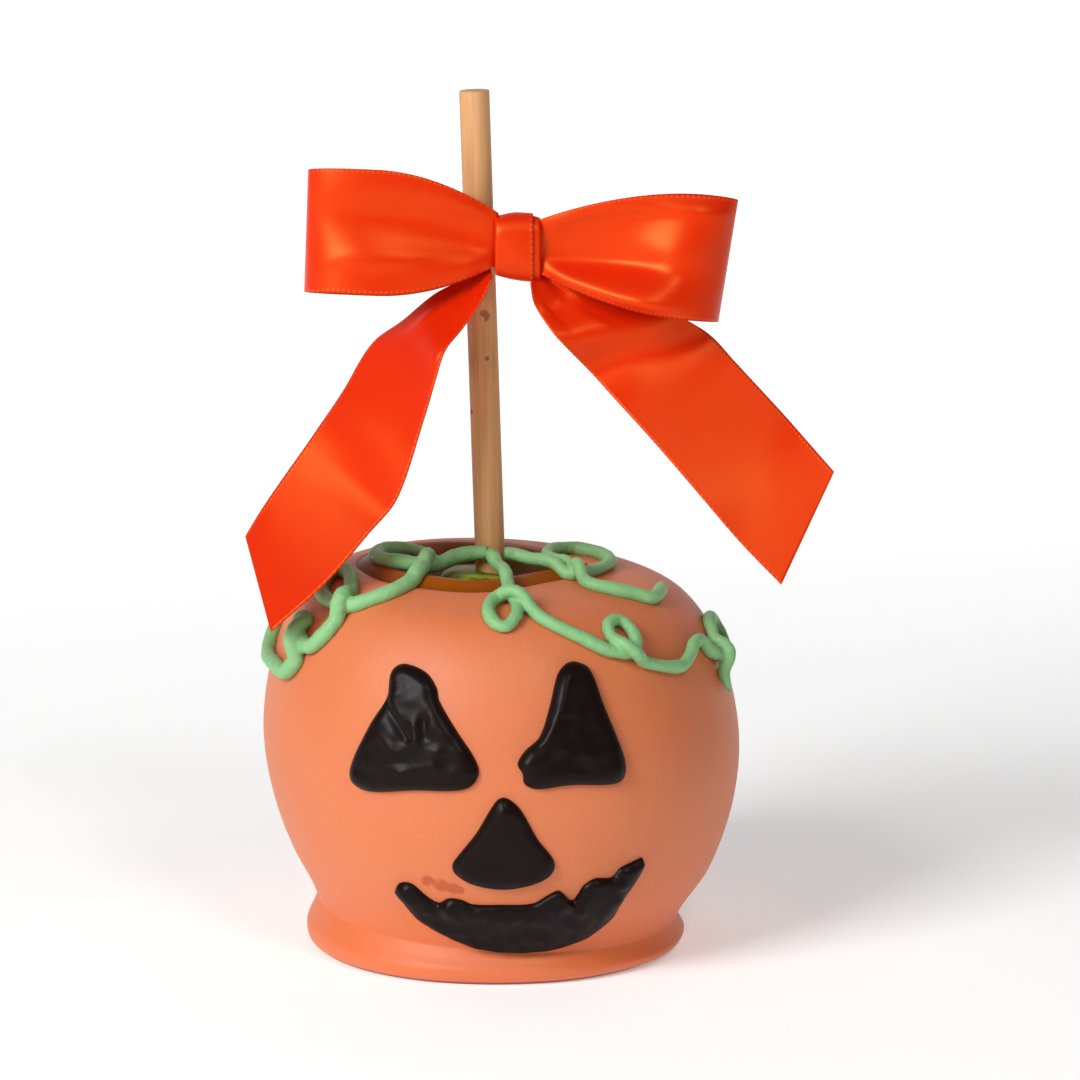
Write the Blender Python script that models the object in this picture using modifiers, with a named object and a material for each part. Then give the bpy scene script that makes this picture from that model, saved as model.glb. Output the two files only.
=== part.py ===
"""Dipped caramel apple with a pumpkin face, piped vines and a satin bow.

Metres, +Z up. The origin is the middle of the flat foot that the apple
stands on. The face looks along -Y, and +X is on the right as one faces it.
"""

import math

import bmesh
import bpy
from mathutils import Vector

MM = 0.001
GAP = 0.3 * MM  # left between pieces that touch

# The dipped apple's half outline, (radius, height) in mm, from the crown down to the neck.
BODY_OUTLINE = (
    (0, 71.3), (18, 70.9), (27, 69.8), (34, 66.6), (39.2, 59.8), (42.7, 49.6),
    (44, 39), (42.8, 29), (39.2, 18), (34.8, 10.4), (33.3, 7.2),
)
# The puddle of chocolate that set round its base, on down from the neck.
FOOT_OUTLINE = ((34.1, 5.4), (35.2, 3.2), (34.8, 1.3), (33.0, 0))
# The apple inside the caramel, from the stem hollow down to the blossom end.
APPLE_OUTLINE = (
    (0, 65.0), (8, 65.4), (15, 65.7), (22, 64.8), (28.4, 61.9), (33.6, 56.6), (37.1, 49),
    (38.5, 39.5), (37.7, 30), (34.6, 20.5), (29, 12), (22, 7.4), (13, 6.0), (0, 6.8),
)
TURN_STEPS = 40
NECK_HEIGHT = 7.2 * MM
BODY_LEAN = 0.054              # rise of the left shoulder for each unit across
BODY_NOD = 0.03                # rise of the back for each unit towards it
FOOT_SHIFT = -1.1 * MM         # the foot sits a little left of the apple

COAT_AT_RIM = 0.8 * MM         # chocolate thickness round the opening
COAT_AT_SIDE = 1.8 * MM
RIM_RADIUS, SIDE_RADIUS = 20 * MM, 34 * MM
# Where the hollows in the chocolate and in the caramel turn in to their flat floors, in mm.
COAT_FLOOR = ((31.4, 4.6), (30.6, 2.6), (29.2, 2.0), (0, 2.0))
CARAMEL_FLOOR = ((31.1, 4.8), (30.2, 2.95), (29, 2.4), (0, 2.4))

# Opening in the chocolate: its reach in mm from its middle, anticlockwise from +X.
OPENING_CENTRE = Vector((-4.4, -0.5)) * MM
OPENING_REACH = (21.5, 20, 20, 21.5, 22.6, 22.8, 22.5, 18.5)
POOL_DIP = 0.4 * MM            # the caramel sinks this far towards the stick
POOL_EDGE, POOL_MIDDLE = 18 * MM, 10 * MM

# Bare green skin beside the stick, where the caramel did not close.
BARE_CENTRE = Vector((-4.2, 0)) * MM
BARE_RADIUS = 6.0 * MM
BARE_TOP = 69.6 * MM
BARE_SIDES = 24
WELL_BOTTOM = 60 * MM          # cutters for the opening and the bare patch reach down to here
ABOVE_CROWN = 80 * MM

STICK_DIAMETER = 5.5 * MM
STICK_FOOT = Vector((-0.5, 0, 22)) * MM
STICK_TOP = Vector((-4.8, 0, 158.2)) * MM
STICK_SIDES = 16

# Chocolate face, as (across, height) in mm seen from the front. Closed outlines run clockwise.
LEFT_EYE = (
    (-16.5, 59.6), (-13, 58.4), (-11.2, 56), (-10.8, 54), (-7.8, 49.1), (-4.6, 44.4), (-3.7, 41.6),
    (-5, 39.2), (-7.6, 38.3), (-15, 37.9), (-23.5, 36.8), (-26.3, 38.2), (-26.4, 41.2),
    (-22.9, 48.9), (-19.9, 53.8), (-19.4, 57.5), (-18.4, 59),
)
RIGHT_EYE = (
    (13.2, 60), (15.8, 58.6), (18.5, 52), (21.1, 45.6), (22.2, 41.8), (21.8, 39.3), (20, 38.5),
    (12.6, 39), (6.3, 38.6), (4.3, 39.6), (4, 41.4), (3.1, 43.1), (4.3, 45.3), (7, 47.8),
    (8.8, 53), (10.1, 58), (11.5, 59.7),
)
NOSE = (
    (0.9, 37.2), (2.7, 36.1), (4.1, 34.3), (6.7, 29.3), (9.3, 25.6), (9.7, 23.8), (8.6, 22),
    (5.6, 20.5), (0.3, 19.7), (-5.1, 20.7), (-8, 22.6), (-8.5, 24.2), (-7.4, 26.1),
    (-4.3, 30.4), (-1.7, 35), (-0.4, 36.8),
)
MOUTH_TOP_EDGE = (
    (-18.8, 18), (-18.2, 19.4), (-17, 19.9), (-15.6, 19.6), (-13.1, 17.4), (-11, 16.3), (-9.2, 17.3),
    (-6.9, 17.1), (-5, 16.3), (0.3, 16.3), (5.8, 16.5), (8.7, 18.2), (10.5, 18.9), (12.2, 17.2),
    (12.9, 16.7), (13.8, 17.8), (14.9, 19.6), (16.9, 20.8), (19.9, 20.7), (21.4, 22.3), (23.7, 23.2),
    (25.3, 23.8),
)
MOUTH_LOWER_EDGE = (
    (-18.8, 18), (-17.6, 16.3), (-14.7, 12.5), (-10.8, 10), (-5.8, 7.5), (-1.4, 6.3), (4.5, 5.9),
    (11.4, 6.9), (15.8, 8.7), (19.9, 12.2), (21.8, 15.7), (23.9, 18.9), (25.7, 22.2), (25.3, 23.8),
)
EYE_HEIGHT, NOSE_HEIGHT, MOUTH_HEIGHT = 2.6 * MM, 2.4 * MM, 1.9 * MM
BLOB_SIDES, BLOB_RINGS = 24, 10
MOUTH_STATIONS, MOUTH_SIDES = 26, 10

# Piped vines, as (right, back) in mm on a map of the apple's top laid flat round its axis.
VINE_RADIUS = 1.15 * MM
VINE_STEP = 1.9                # between a vine's points on the map, in mm
VINE_SLOPE = 0.8               # how steeply piping climbs over what it crosses
VINE_START_RISE = 1.5 * MM     # the piping starts this much up the stick
VINE_START_RUN = 6.0           # and comes down over this stretch of the map, in mm
VINE_TIP = (0.9, 0.72, 0.45)   # the last points' share of the full thickness
VINE_ROUTES = {
    "vine_left": (
        (-6.6, 0.6), (-7.8, -2), (-9.9, -6.5), (-12.4, -11.6), (-15.5, -13), (-18.1, -11.5),
        (-20.6, -9.9), (-22.7, -5.8), (-21.6, 0.3), (-18.6, 3), (-15.2, 0.5), (-13, -5.2), (-14.1, -15.3),
        (-15.9, -19.3), (-18.6, -22.2), (-21.3, -23.3), (-24.2, -23.5), (-26.8, -23), (-29.4, -20.8),
        (-31.8, -17.2), (-32.8, -12.7), (-31.5, -8.3), (-29.2, -7.2), (-27.4, -11.2), (-27, -15.3),
        (-27.6, -21.5), (-29.2, -23.3), (-32.2, -24.8), (-35.3, -25), (-37.8, -24.4), (-39.3, -22),
        (-39.8, -18.4), (-38.6, -15.5), (-37.3, -16.8), (-38.6, -19.4), (-40.4, -21.4), (-42.6, -22.9),
        (-46.6, -21.2), (-49.5, -13.1), (-50.9, -5.4), (-49.8, -0.5), (-47.4, 3), (-46, 9), (-45.8, 16),
        (-44, 23), (-42, 29), (-44, 34.5), (-48.5, 34), (-49, 29), (-44.5, 26.5), (-39, 31), (-34, 36.5),
        (-27, 40.5), (-19.5, 43.5), (-12.5, 43), (-10.5, 39.8), (-13.5, 38.4), (-15.8, 40.4),
    ),
    "vine_front": (
        (-1.9, -4.8), (-1.5, -7.6), (0.8, -16.8), (1.9, -25.1), (2.8, -28.7), (2.9, -32), (1, -35),
        (-1.2, -34), (-2.1, -30.7), (-0.6, -27.2), (2.1, -27.7), (4.7, -29.2), (7.4, -32), (11, -33.4),
        (14.8, -34), (18.9, -34.4), (21.9, -33.8), (24.3, -32.4), (25.2, -30.1), (24, -27.8), (21.2, -26.9),
        (19.4, -29.2), (20.4, -31.6), (23.4, -33), (26.5, -32.7), (31.2, -30.5), (35.5, -26.7),
        (36.9, -22.3), (37.2, -18.1), (38.7, -15.2), (41.2, -14.6), (44.2, -10.5), (46.2, -4.5), (45, 1.5),
        (41.5, 2), (39.9, -2), (40.4, -6.5), (42.4, -9.2), (45, -11.4), (48, -13.4), (50.6, -12.8),
    ),
    "vine_right": (
        (2.4, -0.4), (4, -3), (5.8, -5.4), (9.3, -8.2), (12.9, -10.6), (15.9, -7.4), (18.7, -2.2),
        (20, 3.8), (18.1, 10), (13.4, 12.2), (10, 8.8), (8.4, 3.4), (9.4, -0.8), (11.7, -4.8), (13.6, -9.6),
        (16.2, -15.6), (20.6, -16.5), (24.2, -15.8), (27, -15.2), (28.6, -11.3), (29.2, -5),
    ),
    "vine_back": (
        (-2.1, 4.6), (-2.3, 10), (-2.4, 16), (-2.5, 22), (-2.6, 28), (-2.7, 34), (-1.8, 39), (2, 43),
        (7.5, 44), (11, 41.5), (9.8, 38.6), (6, 39), (5, 43), (8, 47.5), (14, 49.5), (20.5, 47), (25.5, 43),
        (29, 38), (27, 34.6), (23.6, 36.4), (24.5, 41), (30, 42.5), (36, 38.5), (40, 32), (42, 25),
    ),
}

# Satin ribbon bow, tied against the front right of the stick.
RIBBON_WIDTH = 22.2 * MM
RIBBON_SOLID = 0.7 * MM        # thickness of the solid; the cloth itself is thinner
KNOT_CENTRE = Vector((3.1, -6.6, 130.6)) * MM
KNOT_SIZE = Vector((8.2, 6.2, 12.0)) * MM
KNOT_ROUNDING = 1.8 * MM
LOOP_DEPTH = 10 * MM
LOOP_PINCH = 0.42              # a loop's width at the knot, as a share of the ribbon's width
LOOP_LAYERS_APART = 1.3 * MM   # between a loop's two ends at the knot
LOOP_SAG = 0.19                # how far a loop's back layer hangs lower, for each unit of depth
LOOP_STEPS, LOOP_STRIPS = 20, 3
# Each loop's middle line from the knot to its tip as (across, height) in mm, the stretch in mm
# over which it opens to full width, and how far its tip leans across for each unit of height.
LOOPS = {
    "ribbon_loop_left": ((-1.4, 132.0), (-35.0, 133.4), 22, 0.04),
    "ribbon_loop_right": ((7.6, 130.6), (41.0, 127.9), 30, 0.155),
}
# Each tail from the knot to its cut end: the outer and the inner edge as (across, height),
# the middle's depth and the ribbon's own width there, all in mm. The outer edge lies further back.
TAILS = {
    "ribbon_tail_left": (
        ((-1.8, 126.6), (-1.6, 125.2), -7.8, 7), ((-6.2, 124.4), (-3.8, 121), -8.6, 9.5),
        ((-12, 121.4), (-6.8, 117), -9.6, 14), ((-17.8, 116.5), (-9.9, 113.4), -10.8, 18),
        ((-23.4, 112.3), (-11.6, 108.4), -11.5, 21), ((-28.6, 104), (-13.6, 101.6), -12, 22.2),
        ((-34.8, 95), (-18.6, 86.8), -13, 22.2), ((-39.6, 88.3), (-24, 80.2), -14.5, 22.2),
        ((-43.5, 82.6), (-31.2, 72.2), -16, 22.2), ((-46.5, 77.6), (-41.2, 63.4), -17, 22.9),
    ),
    "ribbon_tail_right": (
        ((7.2, 123.6), (5.8, 123.2), -5.6, 7), ((11.5, 122.2), (6.4, 120.4), -6.8, 7),
        ((18, 121.2), (8.8, 116.6), -7, 10.9), ((25, 119.8), (12.4, 112.2), -6.6, 16),
        ((32.2, 117.9), (17.4, 106.7), -6.8, 19), ((37.9, 114), (22.9, 101.2), -8, 22.2),
        ((42.6, 109.2), (28.1, 95.8), -10.6, 22.4), ((51, 100.6), (36.3, 86.8), -15, 22.6),
        ((55.7, 95.7), (43.3, 78.9), -18, 22.6), ((60.1, 91), (50.4, 71.9), -20.8, 23),
    ),
}
TAIL_STRIPS = 2
WRAP_HEIGHT = 9 * MM
WRAP_THICKNESS = 0.8 * MM
WRAP_SIDES = 24

parts = bpy.data.collections.new("caramel_apple")
cutters = bpy.data.collections.new("cutters")


def clear_scene():
    """Start from an empty scene that holds the two collections."""
    for old in list(bpy.data.objects):
        bpy.data.objects.remove(old, do_unlink=True)
    for collection in (parts, cutters):
        bpy.context.scene.collection.children.link(collection)


def material(name, colour, roughness, metallic=0.0):
    """A plain Principled material."""
    made = bpy.data.materials.new(name)
    made.use_nodes = True
    shader = made.node_tree.nodes["Principled BSDF"]
    shader.inputs["Base Color"].default_value = (*colour, 1.0)
    shader.inputs["Roughness"].default_value = roughness
    shader.inputs["Metallic"].default_value = metallic
    return made


# ---------------------------------------------------------------- curves and the body's form

def smooth_through(points, steps, closed=False):
    """Points along a smooth curve through the given ones, with `steps` to each span."""
    points = [Vector(point) for point in points]
    count = len(points)

    def at(index):
        return points[index % count] if closed else points[min(max(index, 0), count - 1)]

    def slope(index):
        before = at(index) - at(index - 1)
        after = at(index + 1) - at(index)
        return (before + after) / (before.length + after.length)

    path = []
    for index in range(count if closed else count - 1):
        start, end = at(index), at(index + 1)
        length = (end - start).length
        for step in range(steps):
            t = step / steps
            path.append(
                start * (2 * t**3 - 3 * t**2 + 1) + slope(index) * length * (t**3 - 2 * t**2 + t)
                + end * (3 * t**2 - 2 * t**3) + slope(index + 1) * length * (t**3 - t**2)
            )
    if not closed:
        path.append(points[-1])
    return path


def evenly(path, count):
    """`count` points evenly spaced along a path, from its first point to its last."""
    reached = [0.0]
    for start, end in zip(path, path[1:]):
        reached.append(reached[-1] + (end - start).length)
    points, span = [], 0
    for index in range(count):
        goal = reached[-1] * index / (count - 1)
        while span < len(path) - 2 and reached[span + 1] < goal:
            span += 1
        share = (goal - reached[span]) / (reached[span + 1] - reached[span])
        points.append(path[span].lerp(path[span + 1], share))
    return points


def ease(value):
    """Smooth step from 0 to 1."""
    value = min(max(value, 0.0), 1.0)
    return value * value * (3 - 2 * value)


def outline_in_metres(points, steps):
    """A smooth (radius, height) outline from points in mm."""
    return [point * MM for point in smooth_through(points, steps)]


def inward(outline, depth_at):
    """The outline moved into the body by depth_at(radius)."""
    moved = []
    for index, point in enumerate(outline):
        before = outline[max(index - 1, 0)]
        after = outline[min(index + 1, len(outline) - 1)]
        along = (after - before).normalized()
        normal = Vector((along.y, -along.x))
        if point.x < 1e-6:
            normal = Vector((0, -1 if index == 0 else 1))
        moved.append(point + normal * depth_at(point.x))
    return moved


def coat_depth(radius):
    """Chocolate thickness at a distance from the axis."""
    share = ease((radius - RIM_RADIUS) / (SIDE_RADIUS - RIM_RADIUS))
    return COAT_AT_RIM + (COAT_AT_SIDE - COAT_AT_RIM) * share


BODY = outline_in_metres(BODY_OUTLINE, 12)
BODY_AND_FOOT = outline_in_metres(BODY_OUTLINE + FOOT_OUTLINE, 8)


def body_radius(height):
    """Radius of the dipped apple, before it leans, at a height below the crown."""
    for above, below in zip(BODY_AND_FOOT, BODY_AND_FOOT[1:]):
        if below.y <= height <= above.y:
            return below.x + (above.x - below.x) * (height - below.y) / (above.y - below.y)
    return BODY_AND_FOOT[-1].x


def settle(point):
    """Lean the round apple on its foot: left shoulder and back up, foot a little to the left."""
    tilt = (BODY_NOD * point.y - BODY_LEAN * point.x) * ease(point.z / NECK_HEIGHT)
    shift = FOOT_SHIFT * (1 - ease(point.z / (2.5 * NECK_HEIGHT)))
    return Vector((point.x + shift, point.y, point.z + tilt))


def on_front(across, height, lift):
    """A point `lift` proud of the front of the coating, at a width and height as seen from the front."""
    turned_x, level = across, height
    for _ in range(4):
        radius = body_radius(level)
        depth = -math.sqrt(max(radius**2 - turned_x**2, 0.0))
        miss = Vector((across, depth, height)) - settle(Vector((turned_x, depth, level)))
        turned_x, level = turned_x + miss.x, level + miss.z
    slope = (body_radius(level + MM) - body_radius(level - MM)) / (2 * MM)
    normal = Vector((turned_x, depth, -radius * slope)).normalized()
    return Vector((across, depth, height)) + normal * lift


def on_crown(right, back, lift):
    """A point `lift` proud of the coating, on a map of the apple's top laid flat round the axis."""
    reach = math.hypot(right, back)
    direction = Vector((right, back)) / max(reach, 1e-9)
    travelled = 0.0
    for start, end in zip(BODY, BODY[1:]):
        length = (end - start).length
        if travelled + length >= reach:
            break
        travelled += length
    along = (end - start) / length
    spot = start + along * (reach - travelled)
    spot += Vector((-along.y, along.x)) * lift
    return settle(Vector((direction.x * spot.x, direction.y * spot.x, spot.y)))


# ---------------------------------------------------------------- making and joining solids

def add_mesh(name, mesh, finish, collection=parts):
    """Put a mesh in the scene with its material."""
    made = bpy.data.objects.new(name, mesh)
    mesh.materials.clear()
    mesh.materials.append(finish)
    collection.objects.link(made)
    if collection is cutters:
        made.hide_render = True
        made.display_type = "WIRE"
    return made


def baked(source):
    """The object's evaluated mesh, with the object itself removed."""
    bpy.context.view_layer.update()
    evaluated = source.evaluated_get(bpy.context.evaluated_depsgraph_get())
    mesh = bpy.data.meshes.new_from_object(evaluated)
    mesh.transform(source.matrix_world)
    bpy.data.objects.remove(source, do_unlink=True)
    return mesh


def turned(name, outline, finish, collection=parts):
    """A solid turned from an outline that runs top to bottom, then settled on its foot."""
    profile = bpy.data.meshes.new(name)
    edges = [(index, index + 1) for index in range(len(outline) - 1)]
    profile.from_pydata([(point.x, 0, point.y) for point in outline], edges, [])
    lathe = add_mesh(name, profile, finish, collection)
    screw = lathe.modifiers.new("turn", "SCREW")
    screw.steps = screw.render_steps = TURN_STEPS
    screw.use_merge_vertices = True
    screw.merge_threshold = 0.00001
    mesh = baked(lathe)
    for vertex in mesh.vertices:
        vertex.co = settle(vertex.co)
    mesh.shade_smooth()
    return add_mesh(name, mesh, finish, collection)


def cut(target, cutter):
    """Take a cutter away from a part."""
    difference = target.modifiers.new("cut_" + cutter.name, "BOOLEAN")
    difference.operation = "DIFFERENCE"
    difference.object = cutter


def upright_prism(name, outline, low, high, finish, collection=cutters):
    """A flat outline, (x, y) in metres, made a prism between two heights."""
    flat = bpy.data.curves.new(name, "CURVE")
    flat.dimensions = "2D"
    flat.fill_mode = "BOTH"
    flat.extrude = (high - low) / 2
    ring = flat.splines.new("POLY")
    ring.points.add(len(outline) - 1)
    for point, place in zip(ring.points, outline):
        point.co = (place.x, place.y, 0, 1)
    ring.use_cyclic_u = True
    shape = bpy.data.objects.new(name, flat)
    shape.location = (0, 0, (high + low) / 2)
    collection.objects.link(shape)
    return add_mesh(name, welded(baked(shape)), finish, collection)


def welded(mesh):
    """The mesh with its loose caps joined on."""
    work = bmesh.new()
    work.from_mesh(mesh)
    bmesh.ops.remove_doubles(work, verts=work.verts, dist=0.00001)
    work.to_mesh(mesh)
    work.free()
    return mesh


def rod(name, start, end, radius, sides, finish, collection=parts):
    """A round rod between two points."""
    length = (end - start).length
    work = bmesh.new()
    bmesh.ops.create_cone(work, cap_ends=True, segments=sides, radius1=radius, radius2=radius, depth=length)
    mesh = bpy.data.meshes.new(name)
    work.to_mesh(mesh)
    work.free()
    mesh.shade_smooth()
    mesh.set_sharp_from_angle(angle=math.radians(40))
    made = add_mesh(name, mesh, finish, collection)
    made.rotation_euler = Vector((0, 0, 1)).rotation_difference(end - start).to_euler()
    made.location = (start + end) / 2
    return made


def shaped_sphere(name, sides, rings, place, finish):
    """A sphere whose points, (x, y, z) on a unit ball, are put where place() says."""
    work = bmesh.new()
    bmesh.ops.create_uvsphere(work, u_segments=sides, v_segments=rings, radius=1)
    for vertex in work.verts:
        vertex.co = place(vertex.co)
    mesh = bpy.data.meshes.new(name)
    work.to_mesh(mesh)
    work.free()
    mesh.shade_smooth()
    return add_mesh(name, mesh, finish)


def strip(name, steps, strips, place, finish):
    """A ribbon solid: a grid whose points go where place(along, across) says, made thick."""
    work = bmesh.new()
    bmesh.ops.create_grid(work, x_segments=steps, y_segments=strips, size=1)
    for vertex in work.verts:
        vertex.co = place((vertex.co.x + 1) / 2, (vertex.co.y + 1) / 2)
    mesh = bpy.data.meshes.new(name)
    work.to_mesh(mesh)
    work.free()
    mesh.shade_smooth()
    made = add_mesh(name, mesh, finish)
    thick = made.modifiers.new("thickness", "SOLIDIFY")
    thick.thickness = RIBBON_SOLID
    thick.offset = 0
    return made


# ---------------------------------------------------------------- the apple and its coats

def make_coating(finish):
    """Orange chocolate shell with its foot, open at the top."""
    outside = outline_in_metres(BODY_OUTLINE, 2) + [Vector(point) * MM for point in FOOT_OUTLINE]
    shell = turned("coating", outside + [Vector((0, 0))], finish)
    floor = [Vector(point) * MM for point in COAT_FLOOR]
    hollow = inward(outline_in_metres(BODY_OUTLINE, 1), coat_depth) + floor
    cut(shell, turned("coating_hollow", hollow, finish, cutters))
    reach = []
    for index, distance in enumerate(OPENING_REACH):
        angle = index * math.tau / len(OPENING_REACH)
        reach.append(OPENING_CENTRE + Vector((math.cos(angle), math.sin(angle))) * distance * MM)
    rim = smooth_through(reach, 4, closed=True)
    cut(shell, upright_prism("coating_opening", rim, WELL_BOTTOM, ABOVE_CROWN, finish))


def make_caramel(finish):
    """Caramel coat between the apple and the chocolate, with a shallow pool round the stick."""
    outside = inward(outline_in_metres(BODY_OUTLINE, 1), lambda radius: coat_depth(radius) + GAP)
    pooled = []
    for point in outside:
        dip = POOL_DIP * ease((POOL_EDGE - point.x) / (POOL_EDGE - POOL_MIDDLE))
        pooled.append(point - Vector((0, dip)))
    floor = [Vector(point) * MM for point in CARAMEL_FLOOR]
    coat = turned("caramel", pooled + floor, finish)
    hollow = inward([Vector(point) * MM for point in APPLE_OUTLINE], lambda radius: -GAP)
    cut(coat, turned("caramel_hollow", hollow, finish, cutters))
    foot = Vector((BARE_CENTRE.x, BARE_CENTRE.y, WELL_BOTTOM))
    top = Vector((BARE_CENTRE.x, BARE_CENTRE.y, ABOVE_CROWN))
    cut(coat, rod("bare_hole", foot, top, BARE_RADIUS + GAP, BARE_SIDES, finish, cutters))


def make_apple(finish):
    """Green apple, swelling up through the caramel beside the stick."""
    apple = turned("apple", [Vector(point) * MM for point in APPLE_OUTLINE], finish)
    foot = Vector((BARE_CENTRE.x, BARE_CENTRE.y, WELL_BOTTOM))
    top = Vector((BARE_CENTRE.x, BARE_CENTRE.y, BARE_TOP))
    swelling = apple.modifiers.new("bare_patch", "BOOLEAN")
    swelling.operation = "UNION"
    swelling.object = rod("bare_patch", foot, top, BARE_RADIUS, BARE_SIDES, finish, cutters)
    along = (STICK_TOP - STICK_FOOT).normalized()
    bore = rod("stick_hole", STICK_FOOT - along * GAP, STICK_TOP, STICK_DIAMETER / 2 + GAP, STICK_SIDES,
               finish, cutters)
    cut(apple, bore)


def make_stick(finish):
    """Wooden stick, cut off square."""
    rod("stick", STICK_FOOT, STICK_TOP, STICK_DIAMETER / 2, STICK_SIDES, finish)


# ---------------------------------------------------------------- the chocolate face

def make_blob(name, outline, height, finish):
    """A chocolate piece with a flat back on the coating and a domed front."""
    edge = smooth_through(outline, 6, closed=True)
    edge = evenly(edge + [edge[0]], BLOB_SIDES + 1)
    middle = sum(edge[1:], Vector((0, 0))) / BLOB_SIDES

    def place(ball):
        turn = round(math.atan2(ball.y, ball.x) / math.tau * BLOB_SIDES)
        spot = middle.lerp(edge[-turn % BLOB_SIDES], math.hypot(ball.x, ball.y)) * MM
        return on_front(spot.x, spot.y, GAP + height * max(ball.z, 0.0)**0.7)

    shaped_sphere(name, BLOB_SIDES, BLOB_RINGS, place, finish)


def make_mouth(finish):
    """A grin: a band that follows two edges from corner to corner."""
    top_edge = evenly(smooth_through(MOUTH_TOP_EDGE, 6), MOUTH_STATIONS + 1)
    lower_edge = evenly(smooth_through(MOUTH_LOWER_EDGE, 6), MOUTH_STATIONS + 1)

    def place(ball):
        station = round(math.acos(min(max(-ball.z, -1.0), 1.0)) / math.pi * MOUTH_STATIONS)
        girth = max(math.hypot(ball.x, ball.y), 1e-9)
        spot = lower_edge[station].lerp(top_edge[station], (1 + ball.x / girth) / 2) * MM
        bulge = max(ball.y / girth, 0.0)**0.7 * girth**0.5
        return on_front(spot.x, spot.y, GAP + MOUTH_HEIGHT * bulge)

    shaped_sphere("mouth", MOUTH_SIDES, MOUTH_STATIONS, place, finish)


# ---------------------------------------------------------------- the piped vines

def vine_lifts(spots, laid):
    """How high each point of a vine lies, over the coating and over the piping below it."""
    lying = GAP + VINE_RADIUS
    clear = 2 * VINE_RADIUS + GAP
    own_start = 6 * VINE_RADIUS
    travelled = [0.0]
    for start, end in zip(spots, spots[1:]):
        travelled.append(travelled[-1] + (end - start).length)
    lifts = []
    for index, spot in enumerate(spots):
        lift = lying
        own = [(spots[k], lifts[k]) for k in range(index) if travelled[index] - travelled[k] > own_start]
        for other, other_lift in laid + own:
            apart = (spot - other).length
            if apart < clear:
                lift = max(lift, other_lift + math.sqrt(clear**2 - apart**2))
        lifts.append(lift)
    for order in (range(1, len(spots)), range(len(spots) - 2, -1, -1)):
        for index in order:
            side = index - 1 if order.step > 0 else index + 1
            run = (spots[index] - spots[side]).length
            lifts[index] = max(lifts[index], lifts[side] - VINE_SLOPE * run)
    return lifts


def make_vines(finish):
    """Piped vines that curl over the shoulder, each over what it crosses."""
    laid = []
    for name, route in VINE_ROUTES.items():
        smooth = smooth_through(route, 8)
        length = sum((end - start).length for start, end in zip(smooth, smooth[1:]))
        trail = evenly(smooth, round(length / VINE_STEP) + 1)
        spots = [on_crown(point.x * MM, point.y * MM, GAP + VINE_RADIUS) for point in trail]
        lifts = vine_lifts(spots, laid)
        laid += zip(spots, lifts)
        curve = bpy.data.curves.new(name, "CURVE")
        curve.dimensions = "3D"
        curve.bevel_depth = VINE_RADIUS
        curve.bevel_resolution = 1
        curve.use_fill_caps = True
        curve.materials.append(finish)
        tube = curve.splines.new("POLY")
        tube.points.add(len(trail) - 1)
        for index, (point, place, lift) in enumerate(zip(tube.points, trail, lifts)):
            rise = VINE_START_RISE * (1 - ease(index * VINE_STEP / VINE_START_RUN))
            point.co = (*on_crown(place.x * MM, place.y * MM, lift + rise), 1)
        for point, share in zip(tube.points[-len(VINE_TIP):], VINE_TIP):
            point.radius = share
        parts.objects.link(bpy.data.objects.new(name, curve))


# ---------------------------------------------------------------- the bow

def make_loop(name, start, tip, opening_run, lean, finish):
    """One loop: the ribbon goes out from the knot, round the tip and back behind itself."""
    start, tip = Vector(start) * MM, Vector(tip) * MM
    length = (tip - start).length

    def place(along, across):
        out = math.sin(math.pi * along)
        middle = start.lerp(tip, out)
        opened = 1 - (1 - min(out * length / (opening_run * MM), 1.0))**2
        height = RIBBON_WIDTH * (LOOP_PINCH + (1 - LOOP_PINCH) * opened) * (across - 0.5)
        depth = -LOOP_DEPTH / 2 * math.sin(math.tau * along) - LOOP_LAYERS_APART * (0.5 - along)
        level = middle.y + height - LOOP_SAG * depth
        return Vector((middle.x + lean * height * out, KNOT_CENTRE.y + depth, level))

    strip(name, LOOP_STEPS, LOOP_STRIPS, place, finish)


def make_tail(name, stations, finish):
    """One tail, a strip between its two edges."""
    rows = smooth_through([(*outer, *inner, depth, width) for outer, inner, depth, width in stations], 2)

    def place(along, across):
        outer_x, outer_z, inner_x, inner_z, depth, width = rows[round(along * (len(rows) - 1))] * MM
        seen = math.hypot(outer_x - inner_x, outer_z - inner_z)
        turned_back = math.sqrt(max(width**2 - seen**2, 0.0))
        outer = Vector((outer_x, depth + turned_back / 2, outer_z))
        inner = Vector((inner_x, depth - turned_back / 2, inner_z))
        return inner.lerp(outer, across)

    strip(name, len(rows) - 1, TAIL_STRIPS, place, finish)


def make_knot(finish):
    """The wrapped middle of the bow."""
    work = bmesh.new()
    bmesh.ops.create_cube(work, size=1)
    bmesh.ops.scale(work, vec=KNOT_SIZE, verts=work.verts)
    mesh = bpy.data.meshes.new("ribbon_knot")
    work.to_mesh(mesh)
    work.free()
    mesh.shade_smooth()
    mesh.set_sharp_from_angle(angle=math.radians(40))
    knot = add_mesh("ribbon_knot", mesh, finish)
    knot.location = KNOT_CENTRE
    rounding = knot.modifiers.new("rounding", "BEVEL")
    rounding.width = KNOT_ROUNDING
    rounding.segments = 2


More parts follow.
